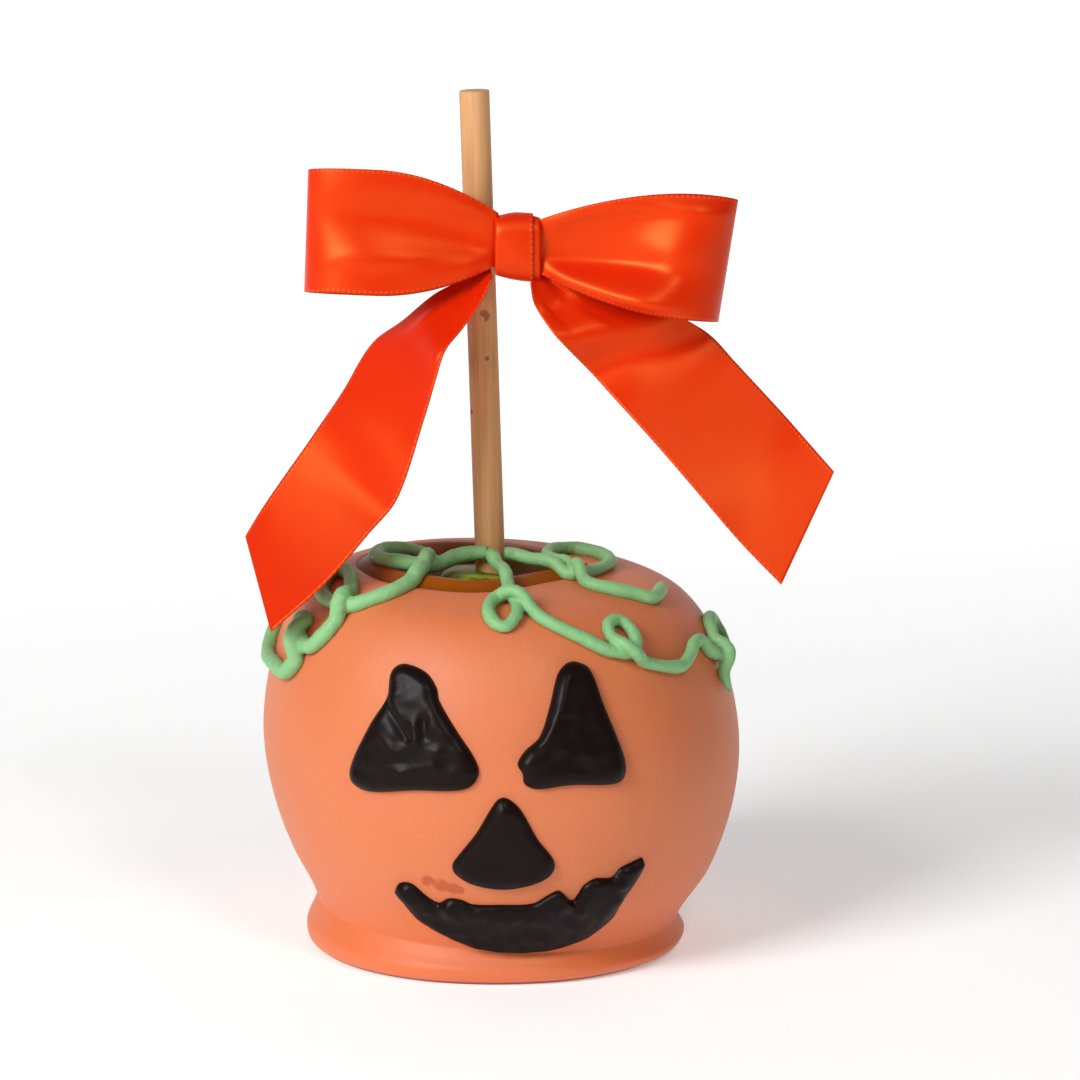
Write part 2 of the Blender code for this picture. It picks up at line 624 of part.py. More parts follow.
def make_wrap(finish):
    """The band of ribbon round the stick, behind the knot."""
    along = (STICK_TOP - STICK_FOOT).normalized()
    middle = STICK_FOOT + along * ((KNOT_CENTRE.z - STICK_FOOT.z) / along.z)
    low, high = middle - along * WRAP_HEIGHT / 2, middle + along * WRAP_HEIGHT / 2
    inside = STICK_DIAMETER / 2 + GAP
    band = rod("ribbon_wrap", low, high, inside + WRAP_THICKNESS, WRAP_SIDES, finish)
    beyond = along * WRAP_HEIGHT
    cut(band, rod("wrap_hole", low - beyond, high + beyond, inside, WRAP_SIDES, finish, cutters))


def make_bow(finish):
    """Every piece of the bow."""
    make_wrap(finish)
    make_knot(finish)
    for name, (start, tip, opening_run, lean) in LOOPS.items():
        make_loop(name, start, tip, opening_run, lean, finish)
    for name, stations in TAILS.items():
        make_tail(name, stations, finish)


def build():
    """The whole apple."""
    clear_scene()
    make_apple(material("apple_skin", (0.14, 0.16, 0.01), 0.35))
    make_caramel(material("caramel", (0.20, 0.05, 0.004), 0.15))
    make_coating(material("orange_chocolate", (0.80, 0.25, 0.12), 0.35))
    make_stick(material("wood", (0.56, 0.32, 0.15), 0.6))
    dark = material("dark_chocolate", (0.018, 0.010, 0.008), 0.35)
    make_blob("eye_left", LEFT_EYE, EYE_HEIGHT, dark)
    make_blob("eye_right", RIGHT_EYE, EYE_HEIGHT, dark)
    make_blob("nose", NOSE, NOSE_HEIGHT, dark)
    make_mouth(dark)
    make_vines(material("green_icing", (0.25, 0.52, 0.23), 0.45))
    make_bow(material("orange_satin", (0.75, 0.05, 0.0), 0.35))


build()
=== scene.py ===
"""A caramel apple dipped in orange chocolate, with a pumpkin face, piped vines and a satin bow.

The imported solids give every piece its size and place. Here each one is made again as the
poured, piped, cut or tied thing that it is, in metres, +Z up, with the face towards -Y.
"""

import math

import bmesh
import bpy
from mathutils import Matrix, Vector, noise


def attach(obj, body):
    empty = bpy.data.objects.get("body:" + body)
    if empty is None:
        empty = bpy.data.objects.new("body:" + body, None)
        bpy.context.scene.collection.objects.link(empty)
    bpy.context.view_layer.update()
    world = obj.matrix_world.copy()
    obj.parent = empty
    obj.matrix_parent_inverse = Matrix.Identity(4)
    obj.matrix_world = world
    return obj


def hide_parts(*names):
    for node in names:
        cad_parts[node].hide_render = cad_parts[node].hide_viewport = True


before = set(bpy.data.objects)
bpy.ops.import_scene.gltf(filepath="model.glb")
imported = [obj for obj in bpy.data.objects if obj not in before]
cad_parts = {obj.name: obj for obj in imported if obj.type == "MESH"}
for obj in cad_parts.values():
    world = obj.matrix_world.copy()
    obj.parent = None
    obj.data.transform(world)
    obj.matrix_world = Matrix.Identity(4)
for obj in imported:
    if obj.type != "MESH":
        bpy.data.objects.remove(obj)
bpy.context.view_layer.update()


# ------------------------------------------------------------------ camera, table and light
# A long lens a metre in front and a little above. The apple stands on a white table that
# sweeps up behind it, with a big soft window on its left and a small lamp high on its right.
MM = 0.001

lens = bpy.data.cameras.new("camera")
lens.lens, lens.sensor_width, lens.clip_end = 184.6, 36, 30
camera = bpy.data.objects.new("camera", lens)
camera.location = Vector((7.1, -1000, 262)) * MM
camera.rotation_euler = (math.radians(90 - 10.57), 0, 0)
bpy.context.scene.collection.objects.link(camera)
bpy.context.scene.camera = camera
bpy.context.scene.view_settings.view_transform = "Standard"


class Tone:
    """A number that varies over a surface. Arithmetic on it adds Math nodes."""

    def __init__(self, finish, socket):
        self.finish, self.socket = finish, socket

    def __add__(self, other):
        return self.finish.maths("ADD", self, other)

    def __sub__(self, other):
        return self.finish.maths("SUBTRACT", self, other)

    def __rsub__(self, other):
        return self.finish.maths("SUBTRACT", other, self)

    def __mul__(self, other):
        return self.finish.maths("MULTIPLY", self, other)

    __radd__, __rmul__ = __add__, __mul__


class Finish:
    """A Principled material, and the nodes that vary it over the surface."""

    def __init__(self, name, roughness, **sockets):
        self.material = bpy.data.materials.new(name)
        self.material.use_nodes = True
        self.tree = self.material.node_tree
        self.shader = self.tree.nodes["Principled BSDF"]
        self.shader.inputs["Roughness"].default_value = roughness
        for label, value in sockets.items():
            self.shader.inputs[label.replace("_", " ")].default_value = value
        self.place = self.node("ShaderNodeTexCoord", {}, {}, "Object")

    def node(self, kind, settings, sockets, output=0):
        """Add a node with its settings, then values or links on its sockets; gives one output."""
        made = self.tree.nodes.new(kind)
        for key, value in settings.items():
            setattr(made, key, value)
        for label, value in sockets.items():
            if isinstance(value, Tone):
                self.tree.links.new(value.socket, made.inputs[label])
            else:
                made.inputs[label].default_value = value
        return Tone(self, made.outputs[output])

    def maths(self, operation, first, second=0.0):
        """A Math node on two numbers."""
        return self.node("ShaderNodeMath", {"operation": operation}, {0: first, 1: second})

    def noise(self, scale, detail=2.0, at=None, roughness=0.5):
        """Cloudy noise from 0 to 1, with `scale` clouds to a metre."""
        sockets = {"Vector": at or self.place, "Scale": scale, "Detail": detail, "Roughness": roughness}
        return self.node("ShaderNodeTexNoise", {}, sockets)

    def step(self, value, low, high):
        """0 below `low`, 1 above `high`, smooth between."""
        sockets = {"Value": value, "From Min": low, "From Max": high}
        return self.node("ShaderNodeMapRange", {"interpolation_type": "SMOOTHSTEP"}, sockets)

    def blend(self, share, first, second):
        """A colour between two."""
        pair = {6: first if isinstance(first, Tone) else (*first, 1),
                7: second if isinstance(second, Tone) else (*second, 1)}
        return self.node("ShaderNodeMix", {"data_type": "RGBA"}, {0: share, **pair}, 2)

    def grey(self, value):
        """The grey of this brightness."""
        return self.node("ShaderNodeCombineColor", {}, {0: value, 1: value, 2: value})

    def axis(self, letter):
        """One coordinate of the place, in metres."""
        return self.node("ShaderNodeSeparateXYZ", {}, {0: self.place}, letter)

    def near(self, centre, reach):
        """1 at a point on the piece, falling to 0 at `reach` metres from it."""
        away = self.node("ShaderNodeVectorMath", {"operation": "DISTANCE"},
                         {0: self.place, 1: centre}, "Value")
        return 1 - self.step(away, 0.0, reach)

    def give(self, label, value):
        """Feed a socket of the shader."""
        self.tree.links.new(value.socket, self.shader.inputs[label])

    def relief(self, height, depth):
        """Raise fine relief, `depth` metres from its lowest to its highest."""
        sockets = {"Height": height, "Distance": depth, "Strength": 1.0}
        self.give("Normal", self.node("ShaderNodeBump", {}, sockets))


TABLE_HALF = 2.2
paper = Finish("white table", 0.9, Specular_IOR_Level=0.0, Emission_Strength=1.0)
paper.give("Base Color", paper.grey(paper.noise(30, 2) * 0.01 + 0.89))
# The table glows as painted light: low under the apple, rising towards the back, fading up the sweep.
paper_painted_glow = paper.step(paper.axis("Y"), 0.05, 0.75) * 0.41 + 0.30
paper_painted_glow = paper_painted_glow * (1 - paper.step(paper.axis("Z"), 0.12, 0.4) * 0.7)
paper.give("Emission Color", paper.grey(paper_painted_glow))

sweep = bmesh.new()
front_edge = [sweep.verts.new((side * TABLE_HALF, -TABLE_HALF, 0)) for side in (-1, 1)]
table_edge = sweep.edges.new(front_edge)
for forward, up in ((TABLE_HALF + 1.2, 0), (0.35, 0.12), (0.2, 0.35), (0.05, 2.5)):
    grown = bmesh.ops.extrude_edge_only(sweep, edges=[table_edge])["geom"]
    moved = [part for part in grown if isinstance(part, bmesh.types.BMVert)]
    bmesh.ops.translate(sweep, vec=(0, forward, up), verts=moved)
    table_edge = next(edge for edge in grown if isinstance(edge, bmesh.types.BMEdge))
bmesh.ops.recalc_face_normals(sweep, faces=sweep.faces)
sweep_mesh = bpy.data.meshes.new("table")
sweep.to_mesh(sweep_mesh)
sweep.free()
sweep_mesh.shade_smooth()
sweep_mesh.materials.append(paper.material)
table = bpy.data.objects.new("table", sweep_mesh)
bpy.context.scene.collection.objects.link(table)

sky = bpy.data.worlds.new("pale room")
sky.use_nodes = True
sky.node_tree.nodes["Background"].inputs["Color"].default_value = (1, 1, 1, 1)
sky.node_tree.nodes["Background"].inputs["Strength"].default_value = 0.15
bpy.context.scene.world = sky


def window(name, place, aim, width, height, watts):
    """A soft rectangular light that faces `aim`."""
    glow = bpy.data.lights.new(name, "AREA")
    glow.shape, glow.size, glow.size_y, glow.energy = "RECTANGLE", width, height, watts
    lamp = bpy.data.objects.new(name, glow)
    lamp.location = place
    lamp.rotation_euler = (Vector(aim) - Vector(place)).to_track_quat("-Z", "Y").to_euler()
    bpy.context.scene.collection.objects.link(lamp)


window("window", (-0.84, -0.97, 0.78), (0, 0, 0.06), 0.62, 0.62, 17.5)
window("room lamp", (0.36, -0.92, 0.97), (0.02, 0, 0.09), 0.26, 0.26, 2.7)


# ------------------------------------------------------------------ the green apple
# A crisp green apple. All that shows of it is a patch of skin beside the stick, where it
# swells up through the caramel. It leans as the whole thing does, left shoulder up.
APPLE_OUTLINE = (
    (0, 65.0), (8, 65.4), (15, 65.7), (22, 64.8), (28.4, 61.9), (33.6, 56.6), (37.1, 49),
    (38.5, 39.5), (37.7, 30), (34.6, 20.5), (29, 12), (22, 7.4), (13, 6.0), (0, 6.8),
)
NECK_HEIGHT = 7.2 * MM
CROWN_FROM = 60 * MM            # the tops of the apple and of the caramel begin here
LEAN, NOD = 0.054, 0.03         # rise of the left shoulder and of the back
FOOT_SHIFT = -1.1 * MM
SKIN_PATCH = Vector((-4.2, 0)) * MM
SKIN_PATCH_TOP, SKIN_PATCH_RADIUS = 69.9 * MM, 6.2 * MM


def smooth_through(points, steps, closed=False):
    """Points along a smooth curve through the given ones, with `steps` to each span."""
    points = [Vector(point) for point in points]
    count = len(points)

    def at(index):
        return points[index % count] if closed else points[min(max(index, 0), count - 1)]

    def slope(index):
        before, after = at(index) - at(index - 1), at(index + 1) - at(index)
        return (before + after) / (before.length + after.length)

    path = []
    for index in range(count if closed else count - 1):
        start, end = at(index), at(index + 1)
        length = (end - start).length
        for step in range(steps):
            t = step / steps
            path.append(
                start * (2 * t**3 - 3 * t**2 + 1) + slope(index) * length * (t**3 - 2 * t**2 + t)
                + end * (3 * t**2 - 2 * t**3) + slope(index + 1) * length * (t**3 - t**2)
            )
    if not closed:
        path.append(points[-1])
    return path


def ease(value):
    """Smooth step from 0 to 1."""
    value = min(max(value, 0.0), 1.0)
    return value * value * (3 - 2 * value)


def settle(point):
    """Lean a round body on its foot, as the apple set."""
    tilt = (NOD * point.y - LEAN * point.x) * ease(point.z / NECK_HEIGHT)
    shift = FOOT_SHIFT * (1 - ease(point.z / (2.5 * NECK_HEIGHT)))
    return Vector((point.x + shift, point.y, point.z + tilt))


def poured_skin(rings, turns, place):
    """A closed skin of rings round the upright axis; place(ring, angle) gives each point."""
    skin = bmesh.new()
    line = [skin.verts.new((index + 1, 0, 0)) for index in range(rings)]
    spokes = [skin.edges.new(pair) for pair in zip(line, line[1:])]
    bmesh.ops.spin(skin, geom=line + spokes, cent=(0, 0, 0), axis=(0, 0, 1), angle=math.tau,
                   steps=turns, use_merge=True)
    for vertex in skin.verts:
        vertex.co = place(round(vertex.co.length) - 1, math.atan2(vertex.co.y, vertex.co.x))
    bmesh.ops.remove_doubles(skin, verts=skin.verts, dist=1e-6)
    if skin.calc_volume(signed=True) < 0:
        bmesh.ops.reverse_faces(skin, faces=skin.faces)
    return skin


def dress(name, shape, finish, slot, *nodes):
    """Make a shape a piece of the apple, smooth and in its finish, in place of its solids."""
    mesh = bpy.data.meshes.new(name)
    shape.to_mesh(mesh)
    shape.free()
    mesh.shade_smooth()
    mesh.materials.append(finish.material)
    made = bpy.data.objects.new(name, mesh)
    bpy.context.scene.collection.objects.link(made)
    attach(made, "root")
    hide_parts(*nodes)
    return made


apple_skin = Finish("green apple skin", 0.3, Specular_IOR_Level=0.05)
# Pale streaks stretched sideways over the skin are painted reflections.
skin_stretch = apple_skin.node("ShaderNodeMapping", {}, {"Vector": apple_skin.place, "Scale": (0.12, 1, 1)})
skin_painted_reflections = apple_skin.noise(520, 2, skin_stretch)
apple_skin.give("Base Color", apple_skin.blend(apple_skin.step(skin_painted_reflections, 0.4, 0.62), (0.12, 0.17, 0.006),
                                               (0.40, 0.42, 0.05)))
apple_skin.relief(apple_skin.noise(420, 2), 0.25 * MM)

apple_profile = [point * MM for point in smooth_through(APPLE_OUTLINE, 5)]


def apple_point(ring, angle):
    """The apple, swelling up under the bare patch."""
    point = apple_profile[ring]
    spot = Vector((point.x * math.cos(angle), point.x * math.sin(angle), point.y))
    away = (spot.xy - SKIN_PATCH).length
    if spot.z > CROWN_FROM:
        dome = SKIN_PATCH_TOP - 0.6 * MM * (away / SKIN_PATCH_RADIUS)**2
        spot.z += (dome - spot.z) * (1 - ease((away - SKIN_PATCH_RADIUS) / (2 * MM)))
    return settle(spot)


dress("green_apple", poured_skin(len(apple_profile), 96, apple_point), apple_skin, "apple_skin", "apple")


# ------------------------------------------------------------------ the caramel
# Soft amber caramel poured over the apple. It shows in the opening at the top, where it
# rolls over in a glossy bank and sinks to a pool round the stick and the bare skin; the pool
# is painted dark brown, partly for its thicker caramel and partly as painted shade.
BODY_OUTLINE = (
    (0, 71.3), (18, 70.9), (27, 69.8), (34, 66.6), (39.2, 59.8), (42.7, 49.6),
    (44, 39), (42.8, 29), (39.2, 18), (34.8, 10.4), (33.3, 7.2),
)
FOOT_OUTLINE = ((34.1, 5.4), (35.2, 3.2), (34.8, 1.3), (33.0, 0))
CARAMEL_FLOOR = ((31.1, 4.8), (30.2, 2.95), (29, 2.4), (0, 2.4))
OPENING_CENTRE = Vector((-4.4, -0.5)) * MM
OPENING_REACH = (21.5, 20, 20, 21.5, 22.6, 22.8, 22.5, 18.5)   # in mm, anticlockwise from +X
COAT_AT_RIM, COAT_AT_SIDE = 0.8 * MM, 1.8 * MM
BANK_RISE, POOL_DEPTH = 1.5 * MM, 4.4 * MM
DIP_DEPTH, DIP_RADIUS, DIP_EDGE = 2.2 * MM, 3.6 * MM, 2.2 * MM     # over the bare skin
CARAMEL_RINGS = 170

opening_rim = []
for index, reach in enumerate(OPENING_REACH):
    turn = index * math.tau / len(OPENING_REACH)
    opening_rim.append(OPENING_CENTRE + Vector((math.cos(turn), math.sin(turn))) * reach * MM)
opening_rim = smooth_through(opening_rim, 24, closed=True)


def reach_round(centre):
    """The opening's edge seen from a centre: its distance for each angle, once round and a bit over."""
    spots = sorted(
        (math.atan2(spot.y - centre.y, spot.x - centre.x), (spot.xy - centre).length)
        for spot in opening_rim
    )
    return [(spots[-1][0] - math.tau, spots[-1][1]), *spots, (spots[0][0] + math.tau, spots[0][1])]


def reach_at(ring, angle):
    """Distance to the opening's edge at an angle."""
    for (low, near), (high, far) in zip(ring, ring[1:]):
        if low <= angle <= high:
            return near + (far - near) * (angle - low) / max(high - low, 1e-9)
    return ring[0][1]


reach_from_middle = reach_round(OPENING_CENTRE)
body_curve = [point * MM for point in smooth_through(BODY_OUTLINE, 24)]
body_length = sum((end - start).length for start, end in zip(body_curve, body_curve[1:]))


def along_body(distance):
    """Place and outward normal, as (radius, height), this far down the body from its crown."""
    travelled = 0.0
    for start, end in zip(body_curve, body_curve[1:]):
        length = (end - start).length
        if travelled + length >= distance:
            break
        travelled += length
    along = (end - start) / length
    return start + along * (distance - travelled), Vector((-along.y, along.x))


def coat_depth(radius):
    """Chocolate thickness at a distance from the axis."""
    return COAT_AT_RIM + (COAT_AT_SIDE - COAT_AT_RIM) * ease((radius / MM - 20) / 14)


caramel_profile = []
for index in range(CARAMEL_RINGS):
    place, outward = along_body(body_length * index / (CARAMEL_RINGS - 1))
    caramel_profile.append(place - outward * (coat_depth(place.x) + 0.1 * MM))
caramel_profile[0].x = 0.0
caramel_profile += [Vector(point) * MM for point in CARAMEL_FLOOR]


def in_opening(place):
    """Share of the way from the opening's middle to its edge, how far behind, and the bank's rise."""
    away = place - OPENING_CENTRE
    share = away.length / reach_at(reach_from_middle, math.atan2(away.y, away.x))
    behind = ease(0.5 + away.y / (24 * MM))
    return share, behind, BANK_RISE * (1 - 0.85 * behind) * ease((1 - share) / 0.14)


def caramel_point(ring, angle):
    """The caramel coat; it rolls over the front of the opening and climbs slowly to its back."""
    point = caramel_profile[ring]
    spot = Vector((point.x * math.cos(angle), point.x * math.sin(angle), point.y))
    if spot.z > CROWN_FROM:
        share, behind, bank = in_opening(spot.xy)
        spot.z += (coat_depth(point.x) + bank) * (1 - ease((share - 0.98) / 0.05))
        pool_edge = 0.86 + 0.11 * behind + 0.03 * noise.noise(spot * 110)
        pool_slope = 0.24 + 0.54 * behind
        spot.z -= POOL_DEPTH * (1 - ease((share - pool_edge + pool_slope) / pool_slope))
        spot.z += 0.08 * MM * noise.noise(spot * 130)
        spot.z -= DIP_DEPTH * (1 - ease(((spot.xy - SKIN_PATCH).length - DIP_RADIUS) / DIP_EDGE))
    return settle(spot)


caramel = Finish("amber caramel", 0.3, Specular_IOR_Level=0.02, Coat_Roughness=0.12)
# Low in the pool the caramel is painted dark brown: partly thicker caramel, partly painted shade of the
# hollow.
caramel_level = caramel.axis("Z") + caramel.axis("X") * LEAN - caramel.axis("Y") * NOD
pool_depth_and_painted_shade = 1 - caramel.step(caramel_level, 0.0688, 0.0717)
amber = caramel.blend(caramel.noise(160, 3), (0.25, 0.052, 0.002), (0.36, 0.090, 0.005))
deep = caramel.blend(caramel.noise(220, 3), (0.085, 0.030, 0.002), (0.150, 0.054, 0.004))
caramel_tone = caramel.blend(pool_depth_and_painted_shade, amber, deep)
green_through = caramel.near((*SKIN_PATCH, 69.2 * MM), 8.5 * MM)
caramel.give("Base Color", caramel.blend(green_through, caramel_tone, (0.12, 0.12, 0.010)))
front_bank = 1 - caramel.step(caramel.axis("Y"), -0.018, -0.010)
caramel.give("Coat Weight", (1 - pool_depth_and_painted_shade) * front_bank * 0.5)
caramel.relief(caramel.noise(180, 2), 0.1 * MM)

dress("poured_caramel", poured_skin(len(caramel_profile), 160, caramel_point), caramel, "caramel", "caramel")


# ------------------------------------------------------------------ the orange chocolate
# The coated apple was dipped in orange chocolate to a thin shell with an uneven opening at
# the top. It set satin smooth, and what ran down stands round the base as a thick foot.
COAT_RINGS, COAT_TURNS = 170, 288
LIP_RADIUS = 0.42 * MM
LIP_STEPS = 5
FOOT_STEPS = 10
UNDER_STOPS = (3, 9, 18, 30, 45, 60, 72)     # mm down from the lip, on the hidden side
COAT_FLOOR = ((31.4, 4.6), (30.6, 2.6), (29.2, 2.0), (0, 2.0))

reach_from_axis = reach_round(Vector((0, 0)))
foot_curve = [point * MM for point in smooth_through([BODY_OUTLINE[-1], *FOOT_OUTLINE], FOOT_STEPS)]
sections = {}


def coat_section(angle):
    """The shell cut in one direction, as (radius, height) from its floor inside to its foot outside."""
    uneven = 0.25 * MM * noise.noise(Vector((math.cos(angle), math.sin(angle), 4)) * 5)
    rim = reach_at(reach_from_axis, angle) + uneven
    edge, outward = along_body(rim)
    back = Vector((-outward.y, outward.x))
    inner = [Vector(point) * MM for point in reversed(COAT_FLOOR)]
    for stop in reversed(UNDER_STOPS):
        place, normal = along_body(min(rim + stop * MM, body_length))
        inner.append(place - normal * coat_depth(place.x))
    lip = []
    for step in range(LIP_STEPS):
        bend = math.pi * (1 - step / LIP_STEPS)
        lip.append(edge + back * LIP_RADIUS * math.sin(bend) - outward * LIP_RADIUS * (1 - math.cos(bend)))
    outer = []
    for index in range(COAT_RINGS):
        outer.append(along_body(rim + (body_length - rim) * index / (COAT_RINGS - 1))[0])
    return inner + lip + outer + foot_curve[1:] + [Vector((0, 0))]


def coat_point(ring, angle):
    """A point of the shell, with the slight waves of chocolate that ran before it set."""
    key = round(angle, 5)
    if key not in sections:
        sections[key] = coat_section(angle)
    point = sections[key][ring]
    spot = Vector((point.x * math.cos(angle), point.x * math.sin(angle), point.y))
    if ring < len(COAT_FLOOR) or point.x < 1e-6:
        return settle(spot)
    out = Vector((spot.x, spot.y, 0)).normalized()
    waves = 0.22 * MM * noise.noise(spot * 38) + 0.05 * MM * noise.noise(spot * 150)
    run_out = 0.5 * MM * noise.noise(out * 2.6 + Vector((7, 1, 0)))
    spot += out * (waves + run_out * (1 - ease((spot.z - 2 * MM) / (5 * MM))) * ease(spot.z / (1 * MM)))
    return settle(spot)


coat_rings = len(coat_section(0.0))
orange_chocolate = Finish("orange chocolate", 0.5, Specular_IOR_Level=0.5)
cloudy = orange_chocolate.noise(55, 3)
fine = orange_chocolate.noise(1900, 4, roughness=0.65)
orange = orange_chocolate.blend(cloudy, (0.67, 0.172, 0.058), (0.73, 0.200, 0.074))
orange = orange_chocolate.blend(orange_chocolate.step(fine, 0.52, 0.72) * 0.3, orange, (0.84, 0.26, 0.10))
coat_height = orange_chocolate.axis("Z")
low_down = 1 - orange_chocolate.step(coat_height, 0.003, 0.022)
orange = orange_chocolate.blend(low_down * 0.45, orange, (0.78, 0.15, 0.035))
# The foot's bottom edge is painted dark red-brown: painted contact shadow, together with a darker tone there.
painted_contact_shadow_edge = 1 - orange_chocolate.step(coat_height, 0.0002, 0.0009)
orange = orange_chocolate.blend(painted_contact_shadow_edge, orange, (0.30, 0.02, 0.008))
smudge = 0.0
for spot, reach in (((-12.8, -37.9, 20.6), 2.0), ((-10.4, -38.4, 20.0), 2.2), ((-8.2, -38.8, 19.5), 1.9),
                    ((-6.8, -39.0, 19.1), 1.3)):
    smudge = orange_chocolate.near(Vector(spot) * MM, reach * MM) + smudge
smudge = smudge * orange_chocolate.step(orange_chocolate.noise(420, 3), 0.22, 0.5)
orange = orange_chocolate.blend(orange_chocolate.step(smudge, 0.0, 0.6) * 0.75, orange, (0.44, 0.065, 0.008))
orange_chocolate.give("Base Color", orange)
orange_chocolate.relief(fine * 0.5 + orange_chocolate.noise(420, 3), 0.05 * MM)

dress("dipped_coating", poured_skin(coat_rings, COAT_TURNS, coat_point), orange_chocolate,
      "orange_chocolate", "coating")


# ------------------------------------------------------------------ the stick
# A round birch stick, pushed down through the core and cut off square. It has long fine
# grain and a brown knot below the bow; down its left side the grain is darkened as painted shade.
STICK_RADIUS = 2.75 * MM
STICK_FOOT = Vector((-0.5, 0, 22)) * MM
STICK_TOP = Vector((-4.8, 0, 158.2)) * MM
STICK_SIDES, STICK_CUTS = 64, 90

stick_line = STICK_TOP - STICK_FOOT
stick = bmesh.new()
bmesh.ops.create_cone(stick, cap_ends=True, segments=STICK_SIDES, radius1=STICK_RADIUS, radius2=STICK_RADIUS,
                      depth=stick_line.length)
rims = [edge for edge in stick.edges if abs(edge.verts[0].co.z - edge.verts[1].co.z) < 1e-6]
bmesh.ops.bevel(stick, geom=rims, offset=0.22 * MM, segments=3, affect="EDGES", profile=0.5, material=-1)
long_edges = [edge for edge in stick.edges
              if abs(edge.verts[0].co.z - edge.verts[1].co.z) > stick_line.length / 2]
bmesh.ops.subdivide_edges(stick, edges=long_edges, cuts=STICK_CUTS, use_grid_fill=True)
for vertex in stick.verts:
    around = Vector((vertex.co.x, vertex.co.y, vertex.co.z * 0.05))
    vertex.co.xy *= 1 + 0.014 * noise.noise(around * 900)
upright = stick_line.to_track_quat("Z", "Y").to_matrix()
for vertex in stick.verts:
    vertex.co = upright @ vertex.co + (STICK_FOOT + STICK_TOP) / 2

wood = Finish("birch wood", 0.55, Specular_IOR_Level=0.35)
grain_place = wood.node("ShaderNodeMapping", {}, {"Vector": wood.place, "Scale": (1, 1, 0.035)})
grain = wood.noise(1500, 4, grain_place, 0.6)
broad_grain = wood.noise(330, 3, grain_place)
pale_wood = wood.blend(wood.step(broad_grain, 0.35, 0.65), (0.62, 0.315, 0.122), (0.72, 0.395, 0.172))
birch = wood.blend(wood.step(grain, 0.42, 0.75) * 0.35, pale_wood, (0.44, 0.20, 0.07))
knot_ring = wood.near((-2.9 * MM, -2.7 * MM, 117.4 * MM), 1.9 * MM)
knot_ring = knot_ring * wood.step(wood.noise(900, 3), 0.35, 0.55)
birch = wood.blend(wood.step(knot_ring, 0.15, 0.6) * 0.8, birch, (0.24, 0.085, 0.03))
pith_speck = wood.near((-2.5 * MM, -2.7 * MM, 109.5 * MM), 0.8 * MM)
nick = wood.near((-5.4 * MM, -1.2 * MM, 99.5 * MM), 0.9 * MM)
birch = wood.blend(wood.step(pith_speck + nick, 0.2, 0.7) * 0.8, birch, (0.16, 0.07, 0.03))
# Painted shade: the grain down the stick's left side is darkened.
left_side_painted_shade = wood.near((-5.9 * MM, -0.8 * MM, 110 * MM), 9 * MM) * wood.step(grain, 0.35, 0.6)
birch = wood.blend(left_side_painted_shade * 0.45, birch, (0.20, 0.09, 0.04))
wood.give("Base Color", birch)
wood.relief(grain + broad_grain * 0.5, 0.05 * MM)

dress("birch_stick", stick, wood, "wood", "stick")


# ------------------------------------------------------------------ the chocolate face
# A pumpkin face piped on in dark chocolate: each piece was outlined, filled in with a few
# strokes and left to set with its ridges. It is domed, rounds over at its edge and is satin.
LEFT_EYE = (
    (-16.5, 59.6), (-13, 58.4), (-11.2, 56), (-10.8, 54), (-7.8, 49.1), (-4.6, 44.4), (-3.7, 41.6),
    (-5, 39.2), (-7.6, 38.3), (-15, 37.9), (-23.5, 36.8), (-26.3, 38.2), (-26.4, 41.2),
    (-22.9, 48.9), (-19.9, 53.8), (-19.4, 57.5), (-18.4, 59),
)
RIGHT_EYE = (
    (13.2, 60), (15.8, 58.6), (18.5, 52), (21.1, 45.6), (22.2, 41.8), (21.8, 39.3), (20, 38.5),
    (12.6, 39), (6.3, 38.6), (4.3, 39.6), (4, 41.4), (3.1, 43.1), (4.3, 45.3), (7, 47.8),
    (8.8, 53), (10.1, 58), (11.5, 59.7),
)
NOSE = (
    (0.9, 37.2), (2.7, 36.1), (4.1, 34.3), (6.7, 29.3), (9.3, 25.6), (9.7, 23.8), (8.6, 22),
    (5.6, 20.5), (0.3, 19.7), (-5.1, 20.7), (-8, 22.6), (-8.5, 24.2), (-7.4, 26.1),
    (-4.3, 30.4), (-1.7, 35), (-0.4, 36.8),
)
MOUTH_TOP_EDGE = (
    (-18.8, 18), (-18.2, 19.4), (-17, 19.9), (-15.6, 19.6), (-13.1, 17.4), (-11, 16.3), (-9.2, 17.3),
    (-6.9, 17.1), (-5, 16.3), (0.3, 16.3), (5.8, 16.5), (8.7, 18.2), (10.5, 18.9), (12.2, 17.2),
    (12.9, 16.7), (13.8, 17.8), (14.9, 19.6), (16.9, 20.8), (19.9, 20.7), (21.4, 22.3), (23.7, 23.2),
    (25.3, 23.8),
)
MOUTH_LOWER_EDGE = (
    (-18.8, 18), (-17.6, 16.3), (-14.7, 12.5), (-10.8, 10), (-5.8, 7.5), (-1.4, 6.3), (4.5, 5.9),
    (11.4, 6.9), (15.8, 8.7), (19.9, 12.2), (21.8, 15.7), (23.9, 18.9), (25.7, 22.2), (25.3, 23.8),
)
EYE_HEIGHT, NOSE_HEIGHT, MOUTH_HEIGHT = 2.5 * MM, 2.3 * MM, 1.9 * MM
SUNK = 0.5 * MM                 # the backs reach this far into the coating
STROKE_SHARE = 0.5              # how much of each stroke was left as the chocolate levelled
